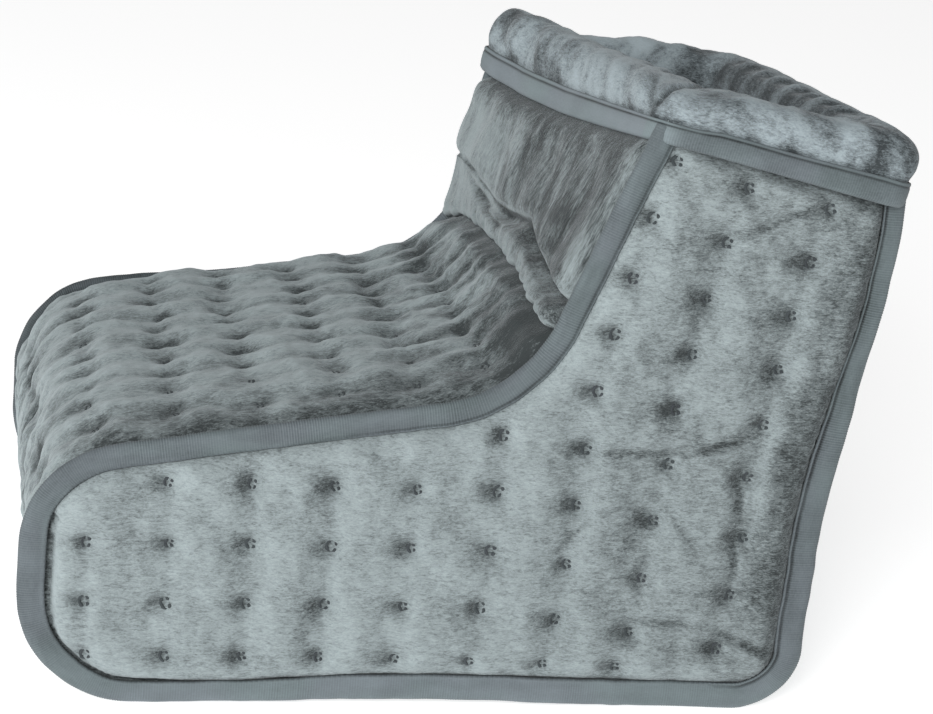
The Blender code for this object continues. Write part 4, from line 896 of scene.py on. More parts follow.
def vamp_rise(s, y, seed=41):
    """Crown, tufts and folds of the instep and toe, and the painted shade on them."""
    crown = 0.6 + 9.8 * smooth(TOE_TOP + 32 - s, 64)
    crown = crown + 2.4 * smooth(y, 70) * smooth(s - TOE_TOP + 14, 30)
    arch = 1 - np.abs(y / GUSSET_SIDE) ** np.where(y > 0, 9 + 7 * smooth(TOE_TOP - 20 - s, 30), 6)
    rim_swell = across_round(y, np.where(y > 0, 6.0, 9.0))
    warp = s + 1.4 * waves(s, y, 26, seed)
    drop = np.zeros(s.shape)
    painted_shade = np.zeros(s.shape)
    for ts, ty in vamp_places:
        gap = np.hypot(warp - ts, (y - ty) * np.where(y < ty, 1.35, 0.9))
        drop = np.maximum(drop, 0.85 * np.exp(-(gap / 6.9) ** 1.8))
        # Painted shade: a dark crescent in each tuft's dimple.
        painted_shade = np.maximum(painted_shade, 0.26 * hump(np.hypot((warp - ts) * 0.65, y - ty - 1.0), 3.6))
    nearest = np.abs(warp[..., None] - np.array(VAMP_ROWS)).min(axis=-1)
    furrow = 0.55 * np.exp(-(nearest / 6.5) ** 1.5) * (0.8 + 0.25 * waves(s, y, 30, seed + 1))
    on_front = smooth(s - TOE_TOP - 4, 24)
    calm = (1 - 0.45 * smooth(-36 - y, 40)) * (1 - 0.65 * on_front)
    calm = calm * (1 - 0.5 * smooth(y - 80, 18))
    drop = np.maximum(drop, furrow) * calm
    # Painted shade round the top of the toe, broken on its front by light streaks of the pile.
    painted_shade = painted_shade * calm + 0.12 * hump(s - TOE_TOP - 6, 22)
    painted_shade = painted_shade - 0.13 * on_front * waves(y, s, 3.4, seed + 8, 9.0)
    swell = 5.0 * (1 - drop) + 0.7 * waves(s, y, 30, seed + 2) + 0.25 * waves(s, y, 10, seed + 3)
    sinuous = y + 2.4 * waves(s, y, 34, seed + 5)
    swell = swell + 0.7 * np.cos(2 * math.pi * sinuous / VAMP_PITCH) * (1 - 0.6 * drop)
    streak = smooth(s - TOE_TOP + 10, 40) * waves(y, s, 9, seed + 4, 7.0) * 0.9
    fade = smooth(TOE_SEAM - s, 12) * (1 - 0.4 * smooth(s - TOE_TOP - 25, 35))
    roll_edge = table(ROLL_EDGE, y)
    under_roll = 1 - 0.5 * smooth(roll_edge + 12 - s, 14)
    height = rim_swell * under_roll * (crown * arch + (swell + streak) * (0.35 + 0.65 * fade))
    height = height - 3.0 * smooth(y - 68, 32) * hump(s - TOE_TOP + 36, 21)
    # Painted shadow under the roll, deepest at its near end, and painted shade towards the instep's
    # rear.
    painted_shade = painted_shade + 0.62 * smooth(roll_edge + 17 - s, 15) * (1 + 0.3 * waves(s / 2.5, y, 9, seed + 6))
    painted_shade = painted_shade + 0.6 * smooth(-25 - y, 30) * smooth(roll_edge + 36 - s, 22)
    painted_shade = painted_shade + 0.45 * smooth(roll_edge + 8 - s, 6)
    painted_shade = painted_shade + 0.3 * smooth(-76 - y, 18) * smooth(roll_edge + 30 - s, 18)
    painted_shade = painted_shade + 0.2 * smooth(210 - s, 70) * (1 + 0.7 * waves(s / 2.5, y, 11, seed + 7))
    # Painted shadow: a dark band beside the near tape.
    wear_and_painted_light = 0.34 * hump(y + 98, 15) * smooth(TOE_TOP - 5 - s, 30)
    return height, painted_shade + wear_and_painted_light * (1 + 0.25 * waves(s, y, 40, seed + 10))


def roll_shadow(s, y):
    """Painted shadow close under the roll: pockets between its gathers, and deepest at its near end."""
    roll_edge = table(ROLL_EDGE, y)
    pockets = np.maximum(0.4 + 0.8 * waves(s / 4.0, y, 13, 94), 0.0)
    near = smooth(-56 - y, 26) * smooth(roll_edge + 34 - s, 18)
    return 0.22 * smooth(roll_edge + 13 - s, 9) * pockets + 0.26 * near


VAMP_START = 97.0
SEAM_GAP = 0.3
vamp_s = np.arange(VAMP_START, TOE_SEAM - SEAM_GAP, FINE)
gusset_y = np.linspace(-GUSSET_SIDE, GUSSET_SIDE, 161)
vamp = gusset_sheet("vamp_cloth", vamp_s, gusset_y, vamp_rise, vamp_plush, nap_and_slope_shade=(0.0, -0.3), hollows=0.1,
                    shadow=roll_shadow)
layer(vamp, PLUSH_THICKNESS, "plush", "instep_panel", PLUSH_FILL)


ANKLE_KNOT_STEPS = 9


def ankle_points():
    """Profile of the shaft's front at each y: down from the cuff, a crease, a roll, and tucked under."""
    ys = np.linspace(-GUSSET_SIDE, GUSSET_SIDE, 241)
    flat = 0 * ys
    roll = table(ROLL_EDGE, ys)
    crease = table(CREASE, ys)
    gather = np.sin(ys / 1.8 + 1.8 * waves(ys, flat, 26, 81)) * (0.7 + 0.35 * waves(ys, flat, 15, 82))
    far = smooth(ys + 30, 120)
    near = smooth(-ys - 30, 60)
    tuck = roll + (1.4 - 0.5 * far) * gather
    hem = CUFF_HEIGHT - table(HEM_FRONT, ys)
    # Length s and height of each knot of the profile, from the cuff down
    knots = [
        (flat + 3, flat + 5),
        (hem - 1, flat + 5.2),
        (hem + 9, 9 + 3.0 * far),
        (flat + 53, 10.5 + 3.0 * far + 0.8 * waves(ys, flat, 50, 83)),
        (crease - 9, 12.5 + 3 * far + 1.2 * waves(ys, flat, 40, 84)),
        (crease - 2.5, 11 + 3 * far),
        (crease, 7.5 + 6.0 * far - 2.0 * near),
        (crease + 3.5, 9.5 + 4.0 * far),
        (np.maximum(roll - 9, crease + 5.5), 15.0 - 1.0 * far - 1.5 * near + 0.1 * gather),
        (tuck - 2, 14.5 - 1.8 * far + 0.4 * (1 - 0.6 * far) * gather),
        (tuck + 0.6, 11.0 - 0.5 * far),
        (tuck - 1.0, 7.5 - 0.5 * far),
        (roll - 4.5, flat + 4.5),
        (roll - 8.0, flat + 2.5),
    ]
    lengths, heights = (spline(np.array(rows), ANKLE_KNOT_STEPS) for rows in zip(*knots))
    return ys, gather, lengths, heights


def spline(knots, steps):
    """Catmull-Rom through rows of knots."""
    ends = np.concatenate([2 * knots[:1] - knots[1:2], knots, 2 * knots[-1:] - knots[-2:-1]])
    rows = [knots[:1]]
    for knot in zip(ends, ends[1:], ends[2:], ends[3:]):
        rows += [catmull(*knot, i / steps)[None] for i in range(1, steps + 1)]
    return np.concatenate(rows)


# Painted shadows at the ends of folds on the near side of the ankle: s, y and half length
ANKLE_DARKS = ((68.0, -60.0, 24.0), (80.0, -74.0, 16.0), (86.0, -88.0, 10.0))


def ankle_sheet():
    """The gathered cloth of the shaft's front, with its folds and their painted light and shade."""
    ys, gather, s, rise = ankle_points()
    y = np.broadcast_to(ys, s.shape)
    rim_swell = across_round(y, np.where(y > 0, 5.0, 8.0))
    number = np.arange(len(s))[:, None] * FINE
    uneven = 0.6 * waves(number, y, 36, 85) + 0.12 * waves(number, y, 11, 86)
    body = smooth(s - 30, 12)
    crease = table(CREASE, y)
    middle = smooth(y + 12, 25) * smooth(78 - y, 25)
    second = hump(s - crease - 8.0 + 0.05 * y, 1.8) * middle
    sag = 0.9 * np.sin((y + 0.9 * s) / 9.0 + 1.6 * waves(s, y, 60, 87))
    sag = sag * body * smooth(crease - s, 10)
    rise = rim_swell * (rise + body * uneven - 2.2 * second + 0.35 * sag)
    x, z = edge.at(s, FLANGE - rise)
    order = np.arange(len(s))[:, None] / ANKLE_KNOT_STEPS + 0 * y
    above = smooth(5.7 - order)
    # Painted light and shade: lighter fold edges, far side and roll; the cuff tape's shadow, dark
    # creases.
    light = 0.26 * hump(order - 4.95, 0.28) + 0.3 * hump(order - 9.4, 0.4) - 0.21
    rising = smooth(y + 25 + 10 * waves(s / 2.0, y, 30, 92), 90)
    upper = 0.42 * rising * smooth(order - 1.2, 2) + 0.16 * smooth(-84 - y, 9) - 0.09
    light = light + above * upper
    light = light + (0.24 + 0.1 * rising - 0.2 * smooth(-68 - y, 14)) * (1 - above)
    light = light - 0.16 * hump(order - 1.4, 0.8) + 0.13 * above * smooth(y - 60, 22)
    light = light - 0.3 * hump(order - 6.1, 0.42) - 0.5 * smooth(order - 9.9, 0.6)
    pocket = smooth(y + 84, 30) * smooth(46 - y, 50)
    light = light - 0.3 * pocket * smooth(8.7 - order, 1.4) * (1 - above)
    light = light - 0.3 * second + 0.2 * hump(s - crease - 4.6 + 0.05 * y, 1.6) * middle
    light = light + 0.16 * gather * hump(order - 9.3, 0.7)
    for s_dark, y_dark, wide in ANKLE_DARKS:
        light = light - 0.24 * hump(s - s_dark - 0.12 * (y - y_dark), 3.0) * hump(y - y_dark, wide)
    slant = y + 0.35 * s
    streaks = 0.09 * waves(s / 4.0, slant, 16, 88) + 0.04 * waves(s / 4.0, slant, 6.5, 89)
    streaks = streaks + 0.05 * waves(s / 3.0, slant, 3.0, 90)
    shade = np.clip(shading(rise, 0.0, FINE, (0.0, -0.08), 0.04) + light + streaks, DARKEST, 1.0)
    cloth = np.stack([number + 0 * y, y, rise], -1)
    return mesh_from("ankle_cloth", to_part(x, y, z), grid_faces(*s.shape), ankle_plush, cloth, shade)


ANKLE_THICKNESS = 1.4
layer(ankle_sheet(), ANKLE_THICKNESS, "plush", "ankle_panel", PLUSH_FILL)


HEEL_ROWS = 7
heel_lengths = np.linspace(edge.place(8, 0.0), edge.total, HEEL_ROWS + 1)[1:-1]
INLET_HEIGHT = 46.0
# Half sizes round the inlet: without tufts, level, and cut open in front of a depth
INLET_CLEAR_WIDTH = 30.0
INLET_CLEAR_HEIGHT = 24.0
INLET_LEVEL_WIDTH = 25.0
INLET_LEVEL_HEIGHT = 18.0
INLET_OPEN_WIDTH = 14.0
INLET_OPEN_HEIGHT = 7.0
INLET_OPEN_DEPTH = -40.0


def heel_tufts():
    """Places (s, y) of the tufts on the heel, clear of the inlet."""
    places = []
    for row in heel_lengths:
        for column in range(VAMP_COLUMNS):
            y = column_y(column)
            above = abs(float(edge.at(row, 0.0)[1]) - INLET_HEIGHT)
            if abs(y) > INLET_CLEAR_WIDTH or above > INLET_CLEAR_HEIGHT:
                places.append((row, y))
    return places


heel_places = heel_tufts()


def heel_rise(s, y, seed=91):
    """Shallow crown and tufts of the heel, level round the inlet, and painted shade at the tufts."""
    rim_swell = across_round(y, 8.0)
    height = edge.at(s, 0.0)[1]
    drop = np.zeros(s.shape)
    painted_shade = np.zeros(s.shape)
    for row, ty in heel_places:
        gap = np.hypot(s - row, y - ty)
        drop = np.maximum(drop, 0.9 * np.exp(-(gap / 6.2) ** 1.4))
        # Painted shade: darker at each tuft.
        painted_shade = np.maximum(painted_shade, 0.3 * hump(gap, 2.6))
    above = np.abs(height - INLET_HEIGHT) - INLET_LEVEL_HEIGHT
    level = smooth(np.maximum(np.abs(y) - INLET_LEVEL_WIDTH, above), 8)
    swell = 3.2 * (1 - drop) + 0.5 * waves(s, y, 30, seed) + 0.2 * waves(s, y, 11, seed + 1)
    under = smooth(edge.total - CUFF_HEIGHT - 8 - s, 8)
    out = smooth(s - HEEL_SEAM, 12)
    return rim_swell * (2.6 + swell * level * under * out), painted_shade * level * under


def clear_of_inlet(x, y, z):
    """Where cloth stays beside the opening for the inlet."""
    level = np.abs(z - INLET_HEIGHT) < INLET_OPEN_HEIGHT
    return ~((np.abs(y) < INLET_OPEN_WIDTH) & level & (x > INLET_OPEN_DEPTH))


HEEL_END_GAP = 3.0
heel_s = np.arange(HEEL_SEAM + SEAM_GAP, edge.total - HEEL_END_GAP, FINE)
heel = gusset_sheet("heel_cloth", heel_s, gusset_y, heel_rise, side_plush, keep=clear_of_inlet)
layer(heel, PLUSH_THICKNESS, "plush", "heel_panel", PLUSH_FILL)


SOLE_DROP = 8.7
SOLE_ROUND = 7.0
SOLE_THICKNESS = 1.8
SOLE_FILL = 0.3
DOT_PITCH = 7.0
DOT_HEIGHT = 0.35


def sole_rise(s, y):
    """The sole stands out to the floor between turned-up ends, with a rounded edge."""
    down = smooth((s - TOE_SEAM) / (FLAT_START - TOE_SEAM))
    down = down * smooth((HEEL_SEAM - s) / (HEEL_SEAM - FLAT_END))
    flat = (GUSSET_SIDE - GUSSET_LIP - np.abs(y)) / SOLE_ROUND > 0.99
    dots = np.cos(s * 2 * math.pi / DOT_PITCH) * np.cos(y * 2 * math.pi / DOT_PITCH)
    dots = DOT_HEIGHT * np.clip(dots - 0.3, 0, 1) * down * flat
    return SOLE_DROP * down * across_round(y, SOLE_ROUND) + dots, np.zeros(s.shape)


sole_s = np.arange(TOE_SEAM + SEAM_GAP, HEEL_SEAM - SEAM_GAP, FINE)
sole = gusset_sheet("sole_cloth", sole_s, gusset_y, sole_rise, sole_cloth)
layer(sole, SOLE_THICKNESS, "sole_cloth", "sole_panel", SOLE_FILL)


def front_lining_rise(s, y):
    """Folds of the lining behind the shaft's front."""
    fold = np.sin(y / 8.0 + 1.3 * waves(s, y, 60, 101)) * smooth(130 - s, 60)
    return 1.2 * fold + 0.5 * waves(s, y, 24, 102) - 0.8, np.zeros(s.shape)


LINING_DEPTH = LINING_INSET + 2.3
FOOTBED_DEPTH = LINING_INSET + 4.6
FOOTBED_GAP = 0.4
FOOTBED_THICKNESS = 4.0
FOOTBED_FILL = 0.7
lining_y = np.linspace(-LINING_HALF_WIDTH, LINING_HALF_WIDTH, 97)
# Linings: piece, replaced node, first and last length, rise, inset, thickness and fill
LININGS = (
    ("lining_cloth_front", "lining_front", 1.0, TOE_SEAM,
     front_lining_rise, LINING_DEPTH, LINING_THICKNESS, LINING_FILL),
    ("lining_cloth_heel", "lining_heel", HEEL_SEAM, edge.total - 1.0,
     flat_rise(0.6, 26, 103), LINING_DEPTH, LINING_THICKNESS, LINING_FILL),
    ("footbed_cloth", "footbed", TOE_SEAM + FOOTBED_GAP, HEEL_SEAM - FOOTBED_GAP,
     flat_rise(0.5, 30, 104), FOOTBED_DEPTH, FOOTBED_THICKNESS, FOOTBED_FILL),
)
for name, node, first, last, rise, inset, thickness, fill in LININGS:
    lengths = np.arange(first, last, LINING_STEP)
    piece = gusset_sheet(name, lengths, lining_y, rise, lining_plush, inset=inset, flip=True)
    layer(piece, thickness, "lining_plush", node, fill)

BATTING_DEPTH = 11.4
BATTING_GAP = 0.5
BATTING_THICKNESS = 4.6
HEEL_BATTING_THICKNESS = 2.4
SOLE_BATTING_DEPTH = 3.2
SOLE_BATTING_THICKNESS = 7.2
SOLE_BATTING_FILL = 0.5
COVER_DEPTH = 15.35
FELT_THICKNESS = 0.85
FELT_FILL = 0.2
FELT_START = TOE_SEAM + 6
FELT_END = edge.place(6, 1.0) - 38.0
strip_y = np.linspace(-BATTING_HALF_WIDTH, BATTING_HALF_WIDTH, 50)
uneven_batting, uneven_felt = flat_rise(0.12, 20, 111), flat_rise(0.05, 15, 113)
# Fillings: piece, replaced node, slot, first and last length, rise, inset, thickness and fill
FILLINGS = (
    ("batting_ankle", "wadding_ankle", "wadding", 1.0, ANKLE_SEAM - BATTING_GAP,
     uneven_batting, BATTING_DEPTH, BATTING_THICKNESS, WADDING_FILL),
    ("batting_instep", "wadding_instep", "wadding", ANKLE_SEAM + BATTING_GAP, TOE_SEAM - BATTING_GAP,
     uneven_batting, BATTING_DEPTH, BATTING_THICKNESS, WADDING_FILL),
    ("batting_heel", "wadding_heel", "wadding", HEEL_SEAM + BATTING_GAP, edge.total - 1.0,
     uneven_batting, BATTING_DEPTH, HEEL_BATTING_THICKNESS, WADDING_FILL),
    ("batting_sole", "wadding_sole", "wadding", FLAT_START + 4, FLAT_END - 4,
     flat_rise(0.1, 20, 112), SOLE_BATTING_DEPTH, SOLE_BATTING_THICKNESS, SOLE_BATTING_FILL),
    ("felt_lower", "heater_carrier", "felt", FELT_START, FELT_END,
     uneven_felt, BATTING_DEPTH, FELT_THICKNESS, FELT_FILL),
    ("felt_upper", "heater_cover", "felt", FELT_START, FELT_END,
     uneven_felt, COVER_DEPTH, FELT_THICKNESS, FELT_FILL),
)
for name, node, slot, first, last, rise, inset, thickness, fill in FILLINGS:
    keep = clear_of_inlet if node == "wadding_heel" else None
    finish = wadding if slot == "wadding" else felt
    lengths = np.arange(first, last, COARSE)
    piece = gusset_sheet(name, lengths, strip_y, rise, finish, inset=inset, keep=keep)
    layer(piece, thickness, slot, node, fill)


def cuff_hang(along, y, level, inner):
    """Lift of cuff points and their push to the front."""
    far = np.clip(0.5 + y / (2 * CUFF_HALF_WIDTH), 0, 1)
    front = smooth(24 - along, 24)
    hem = front * table(HEM_FRONT, y)
    hem = hem + (1 - front) * far * HEM_FRONT[-1][1] * smooth(1 - along / HEM_FAR_REACH)
    beside = (1 - far) * table(RIM_NEAR, along) + far * table(RIM_FAR, along)
    rim = front * table(RIM_FRONT, y) + (1 - front) * beside
    share = 1.0 if inner else np.clip((level + CUFF_HEIGHT + 1) / (RIM_LEVEL + CUFF_HEIGHT + 1), 0, 1)
    push = 3.0 * smooth(y - 50, 50) * smooth(30 - along, 30)
    push = push + 1.2 * front * smooth(40 - np.abs(y - 40), 60)
    return hem + (rim - hem) * share, push


# Points along each side of a ring round the mouth, and in each of its corners
RING_SIDES = (68, 136, 68, 136)
RING_CORNER = 12


def mouth_ring(inset, half_width, level, radii):
    """Points of a rounded rectangle round the mouth, `level` above its edge."""
    up = np.array((-MOUTH_WAY[1], MOUTH_WAY[0]))
    low, high = inset, float(np.linalg.norm(MOUTH_END - MOUTH_START)) - inset
    corners = ((low, -1), (high, -1), (high, 1), (low, 1))
    arcs = []
    for i, (radius, (along, hand)) in enumerate(zip(radii, corners)):
        centre = (along + (radius if along == low else -radius), hand * (half_width - radius))
        angles = math.pi / 2 * (2 + i + np.linspace(0, 1, RING_CORNER + 1))
        arcs.append(np.stack([np.cos(angles), np.sin(angles)], -1) * radius + centre)
    ring = []
    for arc, following, count in zip(arcs, arcs[1:] + arcs[:1], RING_SIDES):
        shares = np.linspace(0, 1, count + 1)[1:-1, None]
        ring += [arc, arc[-1] * (1 - shares) + following[0] * shares]
    ring = np.concatenate(ring)
    lift, push = cuff_hang(ring[:, 0], ring[:, 1], level, inset > 5 and level > -15)
    along = ring[:, 0] - push
    x, z = (MOUTH_START[i] + MOUTH_WAY[i] * along + up[i] * (level + lift) for i in (0, 1))
    return np.stack([x, ring[:, 1], z], -1)


def surface_normals(points):
    """Normals of a grid that is closed both ways."""
    along = np.roll(points, -1, 0) - np.roll(points, 1, 0)
    across = np.roll(points, -1, 1) - np.roll(points, 1, 1)
    normal = np.cross(across, along)
    return normal / np.maximum(np.linalg.norm(normal, axis=-1, keepdims=True), 1e-9)


# Corner radii of the rings on the cuff's outside, inside and hidden fold
OUTER, INNER, FOLD = (18, 10, 14, 10), (14, 12, 12, 12), (9, 6, 9, 6)


def closed_spline(knots, steps):
    """Catmull-Rom through rows of knots, closed on itself."""
    count = len(knots)
    rows = []
    for i, number in enumerate(steps):
        knot = [knots[(i + k) % count] for k in (-1, 0, 1, 2)]
        rows += [catmull(*knot, step / number) for step in range(number)]
    return np.array(rows)


# The cuff's section: inset, |y|, level above the mouth and corner radii, then steps to the next row
CUFF_SECTION = (
    (-1.7, 113.4, -19.2, OUTER), (-1.9, 113.6, -11.0, OUTER), (-3.0, 114.6, -5.5, OUTER),
    (-2.2, 113.9, 0.5, OUTER), (1.6, 110.5, 4.6, OUTER), (9.8, 103.8, 6.3, OUTER),
    (16.5, 97.6, 5.0, INNER), (21.0, 94.6, 0.5, INNER), (21.6, 94.0, -12.0, INNER),
    (19.3, 96.0, -12.2, INNER), (19.0, 96.2, 0.0, INNER), (4.0, 108.2, 0.8, FOLD),
    (2.4, 109.3, -8.0, FOLD), (2.3, 109.4, -19.0, FOLD),
)
CUFF_STEPS = (7, 6, 5, 6, 8, 8, 6, 8, 2, 4, 4, 3, 3, 3)


def cuff_piece():
    """The turned-down plush cuff with its puffed rim, and painted light and shade on it."""
    points = closed_spline(np.array([mouth_ring(*row) for row in CUFF_SECTION]), CUFF_STEPS)
    ring = points[12]
    gaps = np.linalg.norm(np.roll(ring, -1, 0) - ring, axis=1)
    u = np.concatenate([[0], np.cumsum(gaps)[:-1]])
    v = np.concatenate([[0], np.cumsum(np.linalg.norm(np.diff(points[:, 0], axis=0), axis=1))])
    total = u[-1] + gaps[-1]
    uu, vv = np.meshgrid(u, v)
    round_radius = total / (2 * math.pi)
    cx, cy = round_radius * np.cos(uu / round_radius), round_radius * np.sin(uu / round_radius)
    lump = 0.0
    for size, amount, seed in ((36, 0.9, 121), (17, 0.3, 122), (6, 0.1, 123)):
        lump = lump + amount * waves(cx + 0.6 * vv, cy + 0.35 * vv, size, seed)
    from_notch = (uu + 3 - 9 * vv / 26 + total / 2) % total - total / 2
    lump = lump - 2.2 * hump(from_notch, 2.4) + 0.5 * hump(from_notch + 8, 7)
    folds = np.sin(cx / 4.6 + cy / 5.2 + 1.2 * waves(cx, cy, 60, 124)) * smooth(vv - 34, 8)
    lump = lump + 1.2 * folds * smooth(58 - vv, 8)
    open_part = smooth(vv - 9, 6) * smooth(48 - vv, 8)
    swell = lump * open_part
    points = points + surface_normals(points) * swell[..., None]
    px, py, pz = np.moveaxis(points, -1, 0)
    # Painted shade: darker in hollows, at the notch and on the inner wall, light and dark along the
    # folds.
    shade = 0.5 + 0.11 * (swell - blurred(swell, 4)) - 0.3 * hump(from_notch, 1.6) * open_part
    lit = smooth(py - 40, 40) * smooth(-10 - px, 24)
    shade = shade - 0.42 * smooth(vv - 33, 9) * (1 - 1.3 * lit) + 0.18 * folds
    shade = shade - 0.2 * hump(vv - 8.6, 1.0) - 0.15 * lit * smooth(vv - 40, 8)
    # Painted light and shade: lighter on the far rim's front and in broad patches, darker towards the
    # near rear.
    outside = smooth(36 - vv, 6)
    front_far = smooth(py - 45, 35) * smooth(-72 - px, 15)
    patch = 0.19 * waves(cx + 0.3 * vv, cy + 0.8 * vv, 24, 125) + 0.09 * waves(cx, cy + vv, 11, 126)
    shade = shade + lit * smooth(vv - 26, 6) * (0.08 + patch)
    shade = shade + outside * (patch - 0.28 * front_far - 0.04)
    wear_and_painted_light = 0.24 * hump(py - 68, 5) - 0.26 * hump(py - 30, 20) * smooth(27 - vv, 8)
    wear_and_painted_light = wear_and_painted_light + 0.08 * hump(py + 18, 24)
    rear = 0.5 * smooth(px + 20, 20) * (1 + 0.4 * waves(cx, cy + vv, 16, 127))
    rear = rear + 0.09 * smooth(-40 - px, 15)
    near = smooth(-60 - py, 20) * (rear + 0.9 * patch * smooth(px + 12, 12))
    shade = shade + outside * (smooth(-74 - px, 10) * wear_and_painted_light - near)
    quads = grid_faces(*uu.shape, loop_rows=True, loop_columns=True)
    cloth = np.stack([uu, vv, 0 * uu], -1)
    shade = np.clip(shade, DARKEST, 1.0)
    return mesh_from("cuff_cloth", to_part(px, py, pz), quads, cuff_plush, cloth, shade)


CUFF_FILL = 0.6
wear(cuff_piece(), "plush", "cuff", fill=CUFF_FILL)


def ring_lengths(ring):
    """A ring closed by its first point, and the lengths round it."""
    closed = np.concatenate([ring, ring[:1]])
    return closed, np.concatenate([[0], np.cumsum(np.linalg.norm(np.diff(closed, axis=0), axis=1))])


def resample(ring, count):
    """The closed ring again with equal steps."""
    closed, lengths = ring_lengths(ring)
    at = np.arange(count) * lengths[-1] / count
    return np.stack([np.interp(at, lengths, closed[:, i]) for i in range(3)], -1)


# The cuff tape's section: inset, |y| and level above the mouth, how far its ribs show, and its shades
CUFF_TAPE_SECTION = (
    (-2.1, 113.8, -10.8), (-2.9, 114.6, -10.9), (-3.1, 114.8, -11.6), (-2.95, 114.65, -12.3),
    (-3.15, 114.85, -13.2), (-3.25, 114.95, -16.0), (-3.15, 114.85, -19.2), (-2.5, 114.2, -20.4),
    (-0.6, 112.4, -20.8), (2.0, 109.6, -20.4), (2.6, 109.0, -19.4), (2.7, 108.9, -12.0),
    (2.3, 109.4, -11.4), (1.9, 109.8, -12.0), (1.6, 110.1, -18.6), (-1.4, 113.1, -18.9),
)
CUFF_TAPE_RIBBED = (0, 0.2, 0.2, 0.2, 0.5, 0.7, 1, 1, 1, 0.5, 0, 0, 0, 0, 0, 0)
CUFF_TAPE_SHADES = (0.1, 0.6, 0.5, 0.06, 0.42, *[0.5] * 4, *[0.2] * 7)
CUFF_TAPE_OUTSIDE = 112.0
CUFF_TAPE_ROW = 1.5


def cuff_tape_piece():
    """Ribbed tape folded over the cuff's lower edge."""
    step = RIB_PITCH / RIB_STEPS
    rings = [mouth_ring(*row, OUTER if row[1] > CUFF_TAPE_OUTSIDE else FOLD)
             for row in CUFF_TAPE_SECTION]
    count = min(int(ring_lengths(ring)[1][-1] / step) // RIB_STEPS * RIB_STEPS for ring in rings)
    points = np.array([resample(ring, count) for ring in rings])
    number = np.arange(count)
    shown = np.array(CUFF_TAPE_RIBBED)[:, None]
    painted_section_shade = np.array(CUFF_TAPE_SHADES)[:, None]
    rib = RIB_HEIGHT * np.cos(2 * math.pi * number / RIB_STEPS)
    points = points + surface_normals(points) * (shown * rib)[..., None]
    # Painted shade: dark grooves, lighter rib crests, and the tape painted lighter round the front.
    shade = painted_section_shade + rib * shown + 0.42 * smooth(-82 - points[..., 0], 8) * (painted_section_shade > 0.4)
    rows = np.arange(len(points))[:, None] * CUFF_TAPE_ROW
    cloth = np.stack(np.broadcast_arrays(number * RIB_PITCH / RIB_STEPS, rows, 0.0), -1)
    quads = grid_faces(*shade.shape, loop_rows=True, loop_columns=True)
    placed = to_part(*np.moveaxis(points, -1, 0))
    return mesh_from("cuff_tape", placed, quads, tape_cloth, cloth, np.clip(shade, DARKEST, 1.0))


wear(cuff_tape_piece(), "binding_tape", "cuff_binding")


# Tuft stitches: half width and half height of the arc, points along it and round the thread, and lift
MARK_WIDE = 1.75
MARK_TALL = 2.3
MARK_STEPS = 19
MARK_SIDES = 6
MARK_LIFT = 0.15


def tuft_marks(name, centres, surface, seed, scale=1.0):
    """An arc and two dots of stitches in each tuft, the arc's left thickened for the dimple's shadow;
    surface(a, b) gives points and normals.
    """
    draw = np.random.default_rng(seed)
    angles = np.radians(np.linspace(16, 344, MARK_STEPS))
    turned = np.degrees(np.abs(angles - math.pi))
    # The arc's left is thicker, standing partly for the shadow in the tuft's dimple.
    thread_and_shadow_weight = 0.2 + 0.44 * smooth(84 - turned, 30) + 0.2 * hump(turned - 42, 20)
    thread_and_shadow_weight = thread_and_shadow_weight + 0.72 * hump(turned - 144, 19)
    sunk = 0.9 * (thread_and_shadow_weight < 0.3)
    turns = 2 * math.pi * np.arange(MARK_SIDES) / MARK_SIDES
    tube_faces = grid_faces(MARK_STEPS, MARK_SIDES, loop_columns=True)
    points, quads, cloth = [], [], []
    for a, b in centres:
        tilt = draw.uniform(-0.35, 0.35)
        size = scale * draw.uniform(0.8, 1.1)
        across = size * MARK_WIDE * np.cos(angles)
        along = size * MARK_TALL * np.sin(angles) * draw.uniform(0.85, 1.1)
        ring_a = a + across * math.cos(tilt) - along * math.sin(tilt)
        ring_b = b + across * math.sin(tilt) + along * math.cos(tilt)
        middle, out = surface(ring_a, ring_b)
        forward = np.gradient(middle, axis=0)
        forward /= np.linalg.norm(forward, axis=1, keepdims=True)
        aside = np.cross(forward, out)
        thick = thread_and_shadow_weight * scale * draw.uniform(0.75, 1.25, MARK_STEPS)
        middle = middle - out * (draw.uniform(0.0, 0.3, MARK_STEPS) + 0.22 * sunk)[:, None]
        ring = aside[:, None] * np.cos(turns)[:, None] + 0.75 * out[:, None] * np.sin(turns)[:, None]
        quads.append(tube_faces + len(points) * MARK_STEPS * MARK_SIDES)
        points.append((middle[:, None] + thick[:, None, None] * ring).reshape(-1, 3))
        cloth.append(np.repeat(middle, MARK_SIDES, axis=0))
    points, quads, cloth = (np.concatenate(rows) for rows in (points, quads, cloth))
    wear(mesh_piece(name, (points + ORIGIN) * MM, quads, thread, cloth), "binding_tape")


def on_side(side):
    """Places marks on the side panel at |y| over (x, z)."""
    def surface(x, z):
        inside, s = inside_distance(x, z)
        rise = side_rise(x, z, inside, s)[0]
        settled = settle(x, side * (CLOTH_SIDE + rise + MARK_LIFT), z)
        return np.stack(settled, -1), np.tile((0.0, float(side), 0.0), (len(x), 1))
    return surface


def on_gusset(rise):
    """Places marks on a sheet across the boot over (s, y)."""
    def surface(s, y):
        x, z = edge.at(s, FLANGE - rise(s, y)[0] - MARK_LIFT)
        below = edge.at(s, FLANGE)
        out = np.stack([x - below[0], 0 * x, z - below[1]], -1)
        return np.stack(settle(x, y, z), -1), out / np.linalg.norm(out, axis=1, keepdims=True)
    return surface


